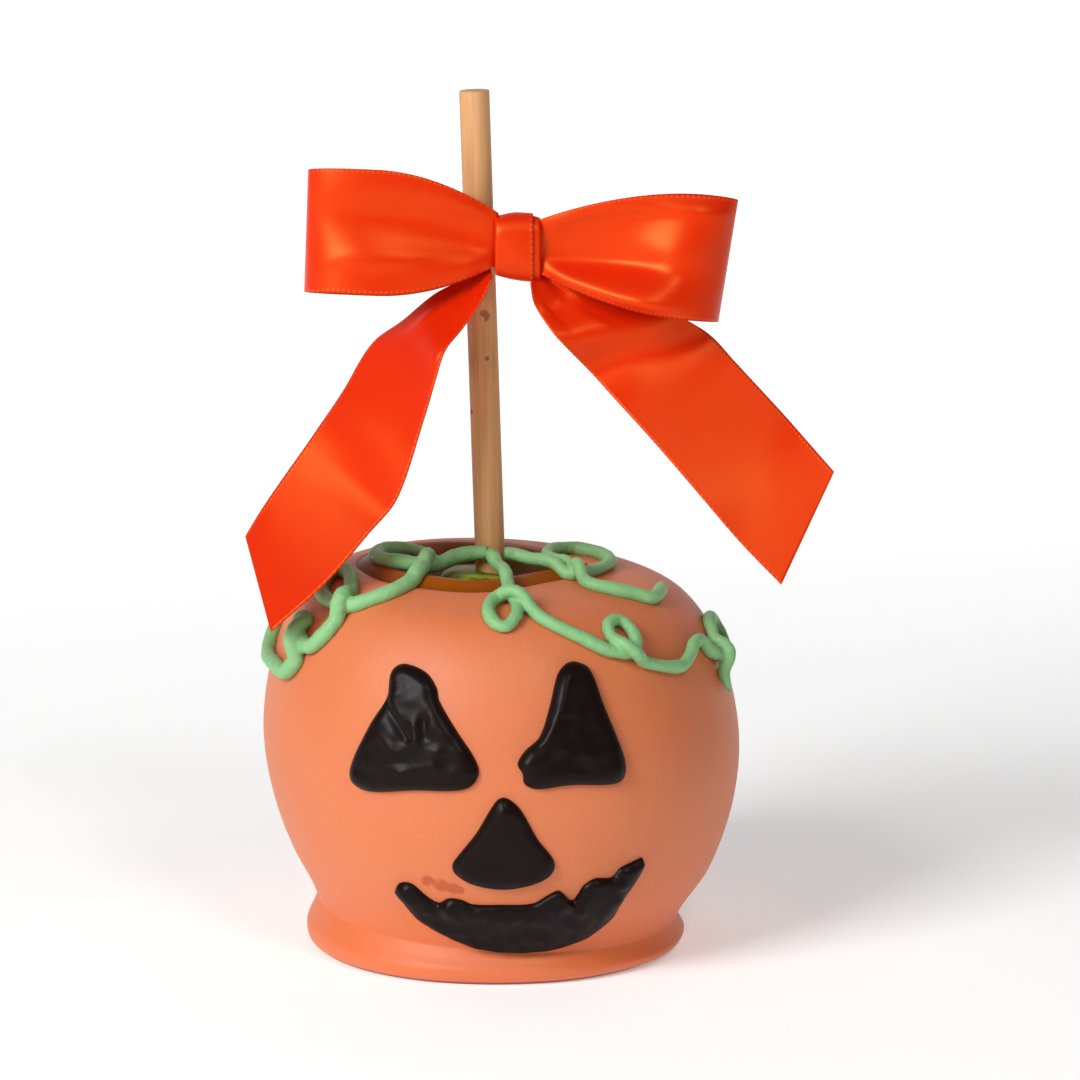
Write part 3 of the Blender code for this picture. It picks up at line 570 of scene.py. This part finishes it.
# Strokes left in the filling: from (across, height) to (across, height), width and rise, in mm.
LEFT_EYE_STROKES = (
    ((-18.3, 57.3), (-16.3, 57.8), 1.2, 0.35), ((-18, 54.3), (-15.6, 55.4), 0.7, 0.3),
    ((-19.8, 53), (-16, 46.9), 0.75, -0.95), ((-13, 50.2), (-12.8, 47.6), 0.8, -0.75),
    ((-14.7, 49.3), (-14.4, 46.8), 0.7, 0.55), ((-20.4, 47), (-17.9, 44.4), 0.9, 0.5),
    ((-22.6, 41.6), (-17, 41.2), 1, 0.4), ((-17, 41.2), (-11.4, 42.6), 0.9, 0.4),
    ((-11.4, 42.6), (-10.8, 45), 0.9, 0.3), ((-24.4, 39.6), (-16, 39.4), 0.8, 0.25),
)
RIGHT_EYE_STROKES = (
    ((11.6, 57.6), (10.1, 51.6), 0.9, 0.35), ((10.1, 51.6), (7.3, 46.8), 0.9, 0.4),
    ((5.7, 42.6), (5.9, 42.2), 1.6, 0.6), ((9.6, 46.4), (10.2, 45.6), 1.3, 0.5),
    ((14.4, 44.9), (15.4, 44.3), 1.2, 0.4), ((12.2, 50.4), (14.4, 47.8), 0.8, -0.35),
    ((19.6, 42.2), (20, 40.6), 1, 0.3),
)
NOSE_STROKES = (((0.6, 34.8), (0.2, 34.2), 0.9, 0.4), ((-0.9, 32.8), (-1.5, 31.6), 0.7, 0.3),
                ((2.6, 31.6), (3, 30.4), 0.8, -0.25), ((-5, 23.2), (4, 22.6), 1.6, 0.2))
MOUTH_STROKES = (
    ((4.4, 9.4), (4.7, 9.2), 0.9, 0.45), ((6.5, 9.6), (6.8, 9.4), 0.7, 0.35),
    ((-9.8, 16), (-9.2, 15.6), 1.1, 0.4), ((-3.5, 15.8), (1, 15.4), 0.8, 0.3),
    ((8.8, 16.4), (10.2, 15.6), 1.1, 0.35), ((20.6, 20.4), (21.2, 19.6), 1, 0.5),
    ((24, 22.9), (24.2, 22.4), 0.9, 0.4), ((-17, 18.4), (-16.4, 17.8), 1.1, 0.35),
    ((-6, 9.2), (-5.2, 9), 0.8, 0.4), ((15.4, 18), (17, 17.6), 1.2, 0.3),
    ((12.9, 15.6), (12.5, 13.4), 0.8, -0.4), ((-1, 12), (9, 12.4), 1.2, -0.25),
)
BLOB_SIDES, BLOB_RINGS = 120, 72
MOUTH_STATIONS, MOUTH_SIDES = 190, 48


def distances(path):
    """How far along a path each of its points lies."""
    reached = [0.0]
    for start, end in zip(path, path[1:]):
        reached.append(reached[-1] + (end - start).length)
    return reached


def evenly(path, count):
    """`count` points evenly spaced along a path, from its first point to its last."""
    reached = distances(path)
    points, span = [], 0
    for index in range(count):
        goal = reached[-1] * index / (count - 1)
        while span < len(path) - 2 and reached[span + 1] < goal:
            span += 1
        share = (goal - reached[span]) / (reached[span + 1] - reached[span])
        points.append(path[span].lerp(path[span + 1], share))
    return points


def body_radius(height):
    """Radius of the dipped apple, before it leans, at a height."""
    for above, below in outside_steps:
        if below.y <= height <= above.y:
            return below.x + (above.x - below.x) * (height - below.y) / (above.y - below.y)
    return outside_steps[-1][1].x


outside = body_curve[::8] + foot_curve[1:]
outside_steps = list(zip(outside, outside[1:]))


def on_front(across, height, lift):
    """A point `lift` proud of the front of the coating, at a width and height as seen from the front."""
    turned_x, level = across, height
    for _ in range(3):
        radius = body_radius(level)
        depth = -math.sqrt(max(radius**2 - turned_x**2, 0.0))
        miss = Vector((across, depth, height)) - settle(Vector((turned_x, depth, level)))
        turned_x, level = turned_x + miss.x, level + miss.z
    slope = (body_radius(level + MM) - body_radius(level - MM)) / (2 * MM)
    normal = Vector((turned_x, depth, -radius * slope)).normalized()
    return Vector((across, depth, height)) + normal * lift


def away_from(spot, start, end):
    """Distance in mm from a spot to a straight stroke."""
    along = end - start
    share = min(max((spot - start).dot(along) / max(along.length_squared, 1e-9), 0.0), 1.0)
    return (spot - start - along * share).length


def stroke_relief(spot, strokes):
    """Rise in metres that the strokes give at a spot in mm."""
    rise = 0.0
    for start, end, width, height in strokes:
        rise += height * math.exp(-(away_from(spot, Vector(start), Vector(end)) / width)**2)
    return rise * MM * STROKE_SHARE


def piped_top(spot, inset, thickness, strokes):
    """Height of a piped filling: it rounds up from its edge within 2.4 mm and keeps its strokes."""
    rounded = math.sqrt(1 - (1 - min(inset / 2.4, 1.0))**2)
    lumps = 0.2 * noise.noise(Vector((spot.x, spot.y, 0)) * 0.4)
    lumps += 0.02 * noise.noise(Vector((spot.x, spot.y, 9)) * 1.3)
    return thickness * 0.82 * rounded + (stroke_relief(spot, strokes) + lumps * MM) * ease(inset / 1.3)


def ball_piece(sides, rings, place):
    """A closed piece: a ball whose points go where place(point on a unit ball) says."""
    ball = bmesh.new()
    bmesh.ops.create_uvsphere(ball, u_segments=sides, v_segments=rings, radius=1)
    for vertex in ball.verts:
        vertex.co = place(vertex.co)
    if ball.calc_volume(signed=True) < 0:
        bmesh.ops.reverse_faces(ball, faces=ball.faces)
    return ball


def piped_blob(outline, thickness, strokes):
    """One eye or the nose."""
    edge = smooth_through(outline, 10, closed=True)
    edge = evenly(edge + [edge[0]], BLOB_SIDES + 1)
    middle = sum(edge[1:], Vector((0, 0))) / BLOB_SIDES

    def place(ball):
        turn = round(math.atan2(ball.y, ball.x) / math.tau * BLOB_SIDES)
        spot = middle.lerp(edge[-turn % BLOB_SIDES], math.hypot(ball.x, ball.y))
        if ball.z < 1e-6:
            return on_front(spot.x * MM, spot.y * MM, SUNK * (max(ball.z + 0.25, 0) / 0.25 - 1))
        inset = min(away_from(spot, start, end) for start, end in zip(edge, edge[1:]))
        return on_front(spot.x * MM, spot.y * MM, piped_top(spot, inset, thickness, strokes))

    return ball_piece(BLOB_SIDES, BLOB_RINGS, place)


dark_chocolate = Finish("dark chocolate", 0.28, Specular_IOR_Level=0.12)
bloom = dark_chocolate.noise(260, 3)
dark_chocolate.give("Base Color", dark_chocolate.blend(bloom, (0.005, 0.0022, 0.0018),
                                                       (0.011, 0.0055, 0.0045)))
dark_chocolate.give("Roughness", dark_chocolate.noise(400, 2) * 0.10 + 0.30)
dark_chocolate.relief(dark_chocolate.noise(420, 2), 0.03 * MM)

dress("chocolate_eye_left", piped_blob(LEFT_EYE, EYE_HEIGHT, LEFT_EYE_STROKES), dark_chocolate,
      "dark_chocolate", "eye_left")
dress("chocolate_eye_right", piped_blob(RIGHT_EYE, EYE_HEIGHT, RIGHT_EYE_STROKES), dark_chocolate,
      "dark_chocolate", "eye_right")
dress("chocolate_nose", piped_blob(NOSE, NOSE_HEIGHT, NOSE_STROKES), dark_chocolate, "dark_chocolate", "nose")

grin_top = evenly(smooth_through(MOUTH_TOP_EDGE, 12), MOUTH_STATIONS + 1)
grin_low = evenly(smooth_through(MOUTH_LOWER_EDGE, 12), MOUTH_STATIONS + 1)


def grin(ball):
    """The mouth, a lumpy band between its two edges from corner to corner."""
    station = round(math.acos(min(max(-ball.z, -1.0), 1.0)) / math.pi * MOUTH_STATIONS)
    girth = max(math.hypot(ball.x, ball.y), 1e-9)
    spot = grin_low[station].lerp(grin_top[station], (1 + ball.x / girth) / 2)
    wide = (grin_top[station] - grin_low[station]).length / 2
    if ball.y / girth < 1e-6:
        return on_front(spot.x * MM, spot.y * MM, -SUNK * min(-4 * ball.y / girth, 1))
    inset = min(wide * (1 - abs(ball.x / girth)) * 1.2, 0.35 * min(station, MOUTH_STATIONS - station))
    lumps = 0.26 * MM * noise.noise(Vector((spot.x, spot.y, 3)) * 0.55) * ease(inset / 1.2)
    return on_front(spot.x * MM, spot.y * MM, piped_top(spot, inset, MOUTH_HEIGHT, MOUTH_STROKES) + lumps)


dress("chocolate_mouth", ball_piece(MOUTH_SIDES, MOUTH_STATIONS, grin), dark_chocolate,
      "dark_chocolate", "mouth")


# ------------------------------------------------------------------ the piped vines
# Green icing, piped in one go from the foot of the stick down over each shoulder, with a curl
# wherever the tube was turned back. It lies on the coating and climbs over what it crosses.
VINE_RADIUS = 1.27 * MM
VINE_GIRTHS = {"vine_left": 1.12, "vine_front": 0.96, "vine_right": 1.0, "vine_back": 1.0}
VINE_STEP = 0.8                 # between a vine's points on the map, in mm
VINE_SLOPE = 0.8                # the steepest way down from what a vine crosses
VINE_JOIN = 5 * MM              # the vines run into one blob over this far from the stick
VINE_START_RISE = 1.5 * MM      # up the stick
VINE_START_RUN = 14.0           # in mm, from the stick to where that rise has died out
VINE_VOXEL = 0.24 * MM
# Routes as (right, back) in mm on a map of the apple's top laid flat round its axis.
VINE_ROUTES = {
    "vine_left": (
        (-2.6, -4), (-5.2, -4.3), (-8.6, -5.8), (-11.8, -9.4), (-15.3, -12), (-18.1, -11.5),
        (-20.6, -9.9), (-22.7, -5.8), (-21.6, 0.3), (-18.6, 3), (-15.2, 0.5), (-13, -5.2), (-14.1, -15.3),
        (-15.9, -19.3), (-18.6, -22.2), (-21.3, -23.3), (-24.2, -23.5), (-26.8, -23), (-29.4, -20.8),
        (-31.8, -17.2), (-32.8, -12.7), (-31.5, -8.3), (-29.2, -7.2), (-27.4, -11.2), (-27, -15.3),
        (-27.6, -21.5), (-29.2, -23.3), (-32.2, -24.8), (-35.3, -25), (-37.8, -24.4), (-39.3, -22),
        (-39.8, -18.4), (-38.6, -15.5), (-37.3, -16.8), (-38.6, -19.4), (-40.4, -21.4), (-42.6, -22.9),
        (-46.6, -21.2), (-49.5, -13.1), (-50.9, -5.4), (-49.8, -0.5), (-47.4, 3), (-46, 9), (-45.8, 16),
        (-44, 23), (-42, 29), (-44, 34.5), (-48.5, 34), (-49, 29), (-44.5, 26.5), (-39, 31), (-34, 36.5),
        (-27, 40.5), (-19.5, 43.5), (-12.5, 43), (-10.5, 39.8), (-13.5, 38.4), (-15.8, 40.4),
    ),
    "vine_front": (
        (-1.9, -4.8), (-1.1, -8.4), (0.8, -16.8), (1.9, -25.1), (2.8, -28.7), (2.9, -32), (1, -35),
        (-1.2, -34), (-2.1, -30.7), (-0.6, -27.2), (2.1, -27.7), (4.7, -29.2), (7.4, -32), (11, -33.4),
        (14.8, -34), (18.9, -34.4), (21.9, -33.8), (24.3, -32.4), (25.2, -30.1), (24, -27.8), (21.2, -26.9),
        (19.4, -29.2), (20.4, -31.6), (23.4, -33), (26.5, -32.7), (31.2, -30.5), (35.5, -26.7),
        (36.9, -22.3), (37.2, -18.1), (38.7, -15.2), (41.2, -14.6), (44.2, -10.5), (46.2, -4.5), (45, 1.5),
        (41.5, 2), (39.9, -2), (40.4, -6.5), (42.4, -9.2), (45, -11.4), (48, -13.4), (50.6, -12.8),
    ),
    "vine_right": (
        (0.5, -3.9), (2.8, -3.9), (5.6, -5.4), (9.2, -8), (12.9, -10.6), (15.9, -7.4), (18.7, -2.2),
        (20, 3.8), (18.1, 10), (13.4, 12.2), (10, 8.8), (8.4, 3.4), (9.4, -0.8), (11.7, -4.8), (13.6, -9.6),
        (16.2, -15.6), (20.6, -16.5), (24.2, -15.8), (27, -15.2), (28.6, -11.3), (29.2, -5),
    ),
    "vine_back": (
        (-2.1, 4.6), (-2.3, 10), (-2.4, 16), (-2.5, 22), (-2.6, 28), (-2.7, 34), (-1.8, 39), (2, 43),
        (7.5, 44), (11, 41.5), (9.8, 38.6), (6, 39), (5, 43), (8, 47.5), (14, 49.5), (20.5, 47), (25.5, 43),
        (29, 38), (27, 34.6), (23.6, 36.4), (24.5, 41), (30, 42.5), (36, 38.5), (40, 32), (42, 25),
    ),
}


def on_crown(right, back, lift):
    """A point `lift` proud of the coating, on the map of the apple's top."""
    reach = math.hypot(right, back)
    direction = Vector((right, back)) / max(reach, 1e-9)
    spot, outward = along_body(reach)
    spot = spot + outward * lift
    return settle(Vector((direction.x * spot.x, direction.y * spot.x, spot.y)))


def vine_lifts(spots, laid):
    """How high each point of a vine lies, over the coating and over the piping below it."""
    lying = 0.82 * VINE_RADIUS
    clear = 1.6 * VINE_RADIUS
    travelled = distances(spots)
    lifts = []
    for index, spot in enumerate(spots):
        lift = lying
        own = [(spots[k], lifts[k]) for k in range(index)
               if travelled[index] - travelled[k] > 6 * VINE_RADIUS]
        crossed = laid + own if travelled[index] > VINE_JOIN else []
        for other, other_lift in crossed:
            apart = (spot - other).length
            if apart < clear:
                lift = max(lift, other_lift + math.sqrt(clear**2 - apart**2))
        lifts.append(lift)
    for order in (range(1, len(spots)), range(len(spots) - 2, -1, -1)):
        for index in order:
            side = index - 1 if order.step > 0 else index + 1
            run = (spots[index] - spots[side]).length
            lifts[index] = max(lifts[index], lifts[side] - VINE_SLOPE * run)
    return lifts


def piping(name, route, girth, laid):
    """A vine's cord, which climbs to the stick at its start and thins out at its end."""
    smooth = smooth_through(route, 12)
    length = sum((end - start).length for start, end in zip(smooth, smooth[1:]))
    trail = evenly(smooth, round(length / VINE_STEP) + 1)
    spots = [on_crown(point.x * MM, point.y * MM, VINE_RADIUS) for point in trail]
    lifts = vine_lifts(spots, laid)
    laid += zip(spots, lifts)
    curve = bpy.data.curves.new(name, "CURVE")
    curve.dimensions = "3D"
    curve.bevel_depth = VINE_RADIUS
    curve.bevel_resolution = 5
    curve.use_fill_caps = True
    cord = curve.splines.new("POLY")
    cord.points.add(len(trail) - 1)
    for index, (point, place, lift) in enumerate(zip(cord.points, trail, lifts)):
        rise = VINE_START_RISE * (1 - ease(index * VINE_STEP / VINE_START_RUN))
        share, _, bank = in_opening(place * MM)
        rise += 0.8 * bank * ease((share - 0.5) / 0.3)
        point.co = (*on_crown(place.x * MM, place.y * MM, lift + rise), 1)
        point.radius = girth + 0.16 * noise.noise(Vector((place.x, place.y, len(laid))) * 0.21)
        left = (len(trail) - 1 - index) * VINE_STEP
        point.radius *= 0.42 + 0.58 * ease(left / 4.5)
    piped = bpy.data.objects.new(name, curve)
    bpy.context.scene.collection.objects.link(piped)
    return piped


def settled_mesh(shape):
    """The mesh of a shape with its modifiers applied; the shape itself goes."""
    bpy.context.view_layer.update()
    mesh = bpy.data.meshes.new_from_object(shape.evaluated_get(bpy.context.evaluated_depsgraph_get()))
    bpy.data.objects.remove(shape, do_unlink=True)
    return mesh


icing = Finish("green icing", 0.5, Specular_IOR_Level=0.4)
icing_cloud = icing.noise(140, 3)
icing_fine = icing.noise(1400, 4, roughness=0.6)
icing_tone = icing.blend(icing_cloud, (0.205, 0.47, 0.185), (0.27, 0.56, 0.245))
icing_tone = icing.blend(icing.step(icing_fine, 0.55, 0.8) * 0.4, icing_tone, (0.40, 0.68, 0.36))
icing.give("Base Color", icing_tone)
icing.relief(icing_fine + icing.noise(480, 3), 0.10 * MM)

# Each cord is joined where it touches itself and rubbed smooth, so that it is one skin.
laid_piping = []
for node, route in VINE_ROUTES.items():
    cord_mesh = settled_mesh(piping(node + "_cord", route, VINE_GIRTHS[node], laid_piping))
    cord_shape = bpy.data.objects.new(node + "_cord", cord_mesh)
    bpy.context.scene.collection.objects.link(cord_shape)
    joined = cord_shape.modifiers.new("joined", "REMESH")
    joined.mode, joined.voxel_size = "VOXEL", VINE_VOXEL
    skin = bmesh.new()
    skin.from_mesh(settled_mesh(cord_shape))
    for _ in range(4):
        bmesh.ops.smooth_vert(skin, verts=skin.verts, factor=0.5,
                              use_axis_x=True, use_axis_y=True, use_axis_z=True)
    skin.normal_update()
    for vertex in skin.verts:
        rough = 0.07 * noise.noise(vertex.co * 700) + 0.05 * noise.noise(vertex.co * 1700)
        vertex.co += vertex.normal * rough * MM
    dress("piped_" + node, skin, icing, "green_icing", node)


# ------------------------------------------------------------------ the bow
# Orange satin ribbon, 22 mm wide with stitched selvages, tied flat against the front right of
# the stick. A folded band makes the knot; loops and tails are gathered into it.
RIBBON_WIDTH = 22.2 * MM
CLOTH = 0.3 * MM
BOW_KNOT = Vector((3.1, -6.6, 130.6)) * MM
LOOP_DEPTH = 10 * MM
LOOP_PINCH = 0.42
LOOP_LAYERS_APART = 1.3 * MM
LOOP_SAG = 0.19                 # how far a loop's back layer hangs lower, for each unit of depth
LOOP_STEPS, LOOP_STRIPS = 180, 48

satin = Finish("orange satin", 0.38, Specular_IOR_Level=1.0, Specular_Tint=(1, 0.48, 0.10, 1))
cut_length = satin.node("ShaderNodeTexCoord", {}, {}, "UV")
along_mm = satin.node("ShaderNodeSeparateXYZ", {}, {0: cut_length}, "X")
across_mm = satin.node("ShaderNodeSeparateXYZ", {}, {0: cut_length}, "Y")
from_edge = satin.maths("MINIMUM", across_mm, RIBBON_WIDTH / MM - across_mm)
selvage = 1 - satin.step(from_edge, 0.45, 0.75)
stitch = satin.step(satin.maths("SINE", along_mm * 6.6), -0.2, 0.5) * selvage
float_place = satin.node("ShaderNodeMapping", {}, {"Vector": cut_length, "Scale": (0.35, 6, 1)})
floats = satin.noise(1.0, 3, float_place)
red = satin.blend(satin.noise(60, 2), (0.68, 0.012, 0.0001), (0.76, 0.019, 0.0002))
red = satin.blend(satin.step(floats, 0.45, 0.75) * 0.2, red, (0.82, 0.032, 0.0006))
red = satin.blend(stitch * 0.32, red, (0.90, 0.12, 0.035))
satin.relief(floats * 0.5 + stitch, 0.04 * MM)


def hang(name, node, steps, strips, place):
    """Make a ribbon piece of the bow, whose points go where place(along, across) says.

    Its UV map is its place on the cut ribbon, in mm, and its middle line gives its length.
    """
    reached = distances([place(step / steps, 0.5) for step in range(steps + 1)])
    strip = bmesh.new()
    bmesh.ops.create_grid(strip, x_segments=steps, y_segments=strips, size=1, calc_uvs=True)
    uv = strip.loops.layers.uv.verify()
    for face in strip.faces:
        for corner in face.loops:
            along, across = (corner.vert.co.x + 1) / 2, (corner.vert.co.y + 1) / 2
            corner[uv].uv = (reached[round(along * steps)] / MM, across * RIBBON_WIDTH / MM)
    for vertex in strip.verts:
        vertex.co = place((vertex.co.x + 1) / 2, (vertex.co.y + 1) / 2)
    bmesh.ops.remove_doubles(strip, verts=strip.verts, dist=1e-6)
    piece = dress(name, strip, satin, "orange_satin", node)
    thick = piece.modifiers.new("cloth", "SOLIDIFY")
    thick.thickness, thick.offset, thick.use_even_offset = CLOTH, 0, False


def crease(along, across, folds):
    """Rise of the cloth in mm from its folds.

    A fold is its two ends as (along, across), then its width and its rise at each end.
    """
    rise = 0.0
    spot = Vector((along, across))
    for start, end, width, height in folds:
        start, end = Vector(start), Vector(end)
        run = end - start
        share = min(max((spot - start).dot(run) / run.length_squared, 0.0), 1.0)
        beside = (spot - start - run * share).length
        spread = width[0] + (width[1] - width[0]) * share
        rise += (height[0] + (height[1] - height[0]) * share) * math.exp(-(beside / spread)**2)
    return rise


# The band round the stick is folded in three, so that its cut width is hidden in its layers.
# WRAP_LAYERS goes across the cut ribbon as (up the stick, inwards), in mm.
WRAP_LAYERS = (
    (-2, 0.54), (4.2, 0.54), (4.5, 0.41), (4.2, 0.27), (-4.2, 0.27), (-4.5, 0.14), (-4.2, 0), (2.6, 0),
)
WRAP_STEPS, WRAP_STRIPS = 96, 48
WRAP_RADIUS = 3.68 * MM
stick_along = stick_line.normalized()
wrap_middle = STICK_FOOT + stick_along * ((BOW_KNOT.z - STICK_FOOT.z) / stick_along.z)
wrap_path = evenly([Vector(point) for point in WRAP_LAYERS], WRAP_STRIPS + 1)


def wrap_place(along, across):
    """The folded band round the stick, drawn in a little where the knot pulls it."""
    rise, inset = wrap_path[round(across * WRAP_STRIPS)]
    turn = math.tau * along - math.pi / 2
    reach = WRAP_RADIUS - inset * MM
    pull = 0.35 * MM * math.sin(3 * turn + 1) + 0.2 * MM * math.sin(7 * turn)
    out = Vector((math.cos(turn), math.sin(turn), 0)) * reach
    return wrap_middle + out + stick_along * (rise * MM * (1 - 0.12 * max(-math.sin(turn), 0)) + pull)


hang("bow_wrap", "ribbon_wrap", WRAP_STEPS, WRAP_STRIPS, wrap_place)

# The knot is the same ribbon folded in three lengthways and passed over the gathered middle.
KNOT_LAYERS = (
    (-2, 0.85), (3.8, 0.85), (4.1, 0.65), (3.8, 0.45), (-3.8, 0.45), (-4.1, 0.22), (-3.8, 0), (2.75, 0),
)
KNOT_STEPS, KNOT_STRIPS = 128, 64
knot_path = evenly([Vector(point) for point in KNOT_LAYERS], KNOT_STRIPS + 1)


def knot_place(along, across):
    """The knot, an upright folded band that is round at the top and slants at the bottom."""
    side, inset = knot_path[round(across * KNOT_STRIPS)]
    turn = math.tau * along
    forward, up = math.cos(turn), math.sin(turn)
    power = (abs(forward)**2.5 + abs(up)**2.5)**(-1 / 2.5)
    deep, tall = 3.1 - inset, 6.0 - inset
    hug = 1 - (0.075 + 0.03 * up) * (side / 4.1)**2
    slant = -0.16 * side if up < 0 else 0.02 * side
    soft = 0.16 * noise.noise(Vector((side * 0.35, forward * 1.6, up * 1.6)))
    return BOW_KNOT + Vector((side, -forward * power * deep * hug - soft,
                              (up * power * tall + slant * abs(up)) * hug + soft)) * MM


hang("bow_knot", "ribbon_knot", KNOT_STEPS, KNOT_STRIPS, knot_place)

# Each loop goes out from the knot, round its tip and back behind itself. Its folds start at the
# knot, where the ribbon is gathered, and die out along it. A loop is drawn by its start and tip
# and the run over which it opens, in mm, its lean, the tilt of its front, and its folds.
LOOPS = {
    "left": ((-0.4, 132.0), (-35.0, 133.4), 22, 0.04, 0.12, (
        ((0.0, 0.42), (0.15, 0.60), (0.16, 0.17), (-1.2, -1.5)),
        ((0.02, 0.12), (0.17, 0.24), (0.14, 0.15), (1.0, 1.4)),
        ((0.0, 0.86), (0.16, 0.88), (0.14, 0.20), (0.7, 0.4)),
        ((0.2, 0.2), (0.30, 0.30), (0.12, 0.16), (-0.9, -0.3)),
    )),
    "right": ((6.5, 130.6), (41.0, 127.9), 30, 0.155, 0.2, (
        ((0.0, 0.52), (0.12, 0.38), (0.15, 0.14), (-1.3, -2.4)),
        ((0.10, 0.42), (0.16, 0.78), (0.11, 0.13), (-1.7, -1.4)),
        ((0.0, 0.88), (0.16, 0.90), (0.13, 0.18), (0.8, 0.6)),
        ((0.02, 0.10), (0.13, 0.08), (0.14, 0.15), (1.2, 1.4)),
        ((0.20, 0.10), (0.31, 0.85), (0.09, 0.11), (2.1, 1.8)),
    )),
}


def loop_place(start, tip, opening_run, lean, tilt, folds):
    """Where the points of one loop of the bow go; no valley is deeper than the room between layers."""
    start, tip = Vector(start) * MM, Vector(tip) * MM
    reach = (tip - start).length

    def place(along, across):
        out = math.sin(math.pi * along)
        middle = start.lerp(tip, out)
        opened = 1 - (1 - min(out * reach / (opening_run * MM), 1.0))**2
        height = RIBBON_WIDTH * (LOOP_PINCH + (1 - LOOP_PINCH) * opened) * (across - 0.5)
        depth = -LOOP_DEPTH / 2 * math.sin(math.tau * along) - LOOP_LAYERS_APART * (0.5 - along)
        height -= LOOP_SAG * depth
        front = 1 if along < 0.5 else -1
        nearer = min(along, 1 - along)
        rise = crease(nearer, across, folds) * MM * ease((0.5 - nearer) / 0.12) * ease(nearer / 0.06 + 0.1)
        room = max(abs(depth) - LOOP_LAYERS_APART / 3, 0.05 * MM)
        if rise < 0:
            rise = room * (math.exp(rise / room) - 1)
        depth -= front * rise
        depth += tilt * height * max(math.sin(math.tau * along), 0)
        return Vector((middle.x + lean * height * out, BOW_KNOT.y + depth, middle.y + height))

    return place


for side, drawing in LOOPS.items():
    hang("bow_loop_" + side, "ribbon_loop_" + side, LOOP_STEPS, LOOP_STRIPS, loop_place(*drawing))

# Each tail is drawn by its outer and inner edge as (across, height), the middle's depth and the
# ribbon's own width, from the knot to the cut end, in mm. The outer edge lies further back.
TAILS = {
    "left": (
        ((-1.8, 126.6), (-1.6, 125.2), -7.8, 7), ((-6.2, 124.4), (-3.8, 121), -8.6, 9.5),
        ((-12, 121.4), (-6.8, 117), -9.6, 14), ((-17.8, 116.5), (-9.9, 113.4), -10.8, 18),
        ((-23.4, 112.3), (-11.6, 108.4), -11.5, 21), ((-28.6, 104), (-13.6, 101.6), -12, 22.2),
        ((-34.8, 95), (-18.6, 86.8), -13, 22.2), ((-39.6, 88.3), (-24, 80.2), -14.5, 22.2),
        ((-43.5, 82.6), (-31.2, 72.2), -16, 22.2), ((-46.5, 77.6), (-41.2, 63.4), -17, 22.9),
    ),
    "right": (
        ((8.4, 127.4), (5.4, 124.2), -5.8, 7), ((12.6, 126), (6.1, 120.4), -6.8, 9.5),
        ((18.6, 123.8), (8.7, 116.5), -7, 13), ((25.2, 121), (12.4, 112.2), -6.6, 16.5),
        ((32.2, 117.9), (17.4, 106.7), -6.8, 19), ((37.9, 114), (22.9, 101.2), -8, 22.2),
        ((42.6, 109.2), (28.1, 95.8), -10.6, 22.4), ((51, 100.6), (36.3, 86.8), -15, 22.6),
        ((55.7, 95.7), (43.3, 78.9), -18, 22.6), ((60.1, 91), (50.4, 71.9), -20.8, 23),
    ),
}
TAIL_FOLDS = {
    "left": (
        ((0.57, 1.05), (0.66, -0.05), (0.05, 0.05), (1.4, 1.4)),
        ((0.30, 0.75), (0.36, 0.1), (0.05, 0.05), (0.8, 0.8)),
        ((0.1, 0.6), (0.3, 0.5), (0.10, 0.12), (-0.6, -0.3)),
    ),
    "right": (
        ((0.27, 0.0), (0.42, 1.0), (0.09, 0.10), (2.7, 2.4)),
        ((0.14, 0.55), (0.2, 0.2), (0.06, 0.07), (-0.9, -0.6)),
    ),
}
TAIL_STEPS, TAIL_STRIPS = 18, 44


def tail_place(rows, folds):
    """Where the points of one tail go: a strip between its two edges, creased where it was folded."""

    def place(along, across):
        outer_x, outer_z, inner_x, inner_z, depth, width = rows[round(along * (len(rows) - 1))] * MM
        seen = math.hypot(outer_x - inner_x, outer_z - inner_z)
        turned_back = math.sqrt(max(width**2 - seen**2, 0.0))
        outer = Vector((outer_x, depth + turned_back / 2, outer_z))
        inner = Vector((inner_x, depth - turned_back / 2, inner_z))
        spot = inner.lerp(outer, across)
        spot.y -= crease(along, across, folds) * MM * ease(along / 0.08)
        return spot

    return place


for side, stations in TAILS.items():
    numbers = [(*outer, *inner, depth, width) for outer, inner, depth, width in stations]
    rows = smooth_through(numbers, TAIL_STEPS)
    hang("bow_tail_" + side, "ribbon_tail_" + side, len(rows) - 1, TAIL_STRIPS,
         tail_place(rows, TAIL_FOLDS[side]))

stain = satin.near((34.1 * MM, -9 * MM, 101.6 * MM), 2.6 * MM) * satin.step(satin.noise(700, 2), 0.35, 0.6)
red = satin.blend(stain * 0.6, red, (0.42, 0.035, 0.012))
# Patches of a slightly different red near the right tail's outer edge.
right_tail_edge_patches = (satin.near((47.5 * MM, -12 * MM, 98.5 * MM), 4 * MM)
         + satin.near((56 * MM, -15 * MM, 89 * MM), 6 * MM))
red = satin.blend(right_tail_edge_patches * satin.step(satin.noise(380, 3), 0.42, 0.62) * 0.35, red, (0.72, 0.02, 0.0))
satin.give("Base Color", red)
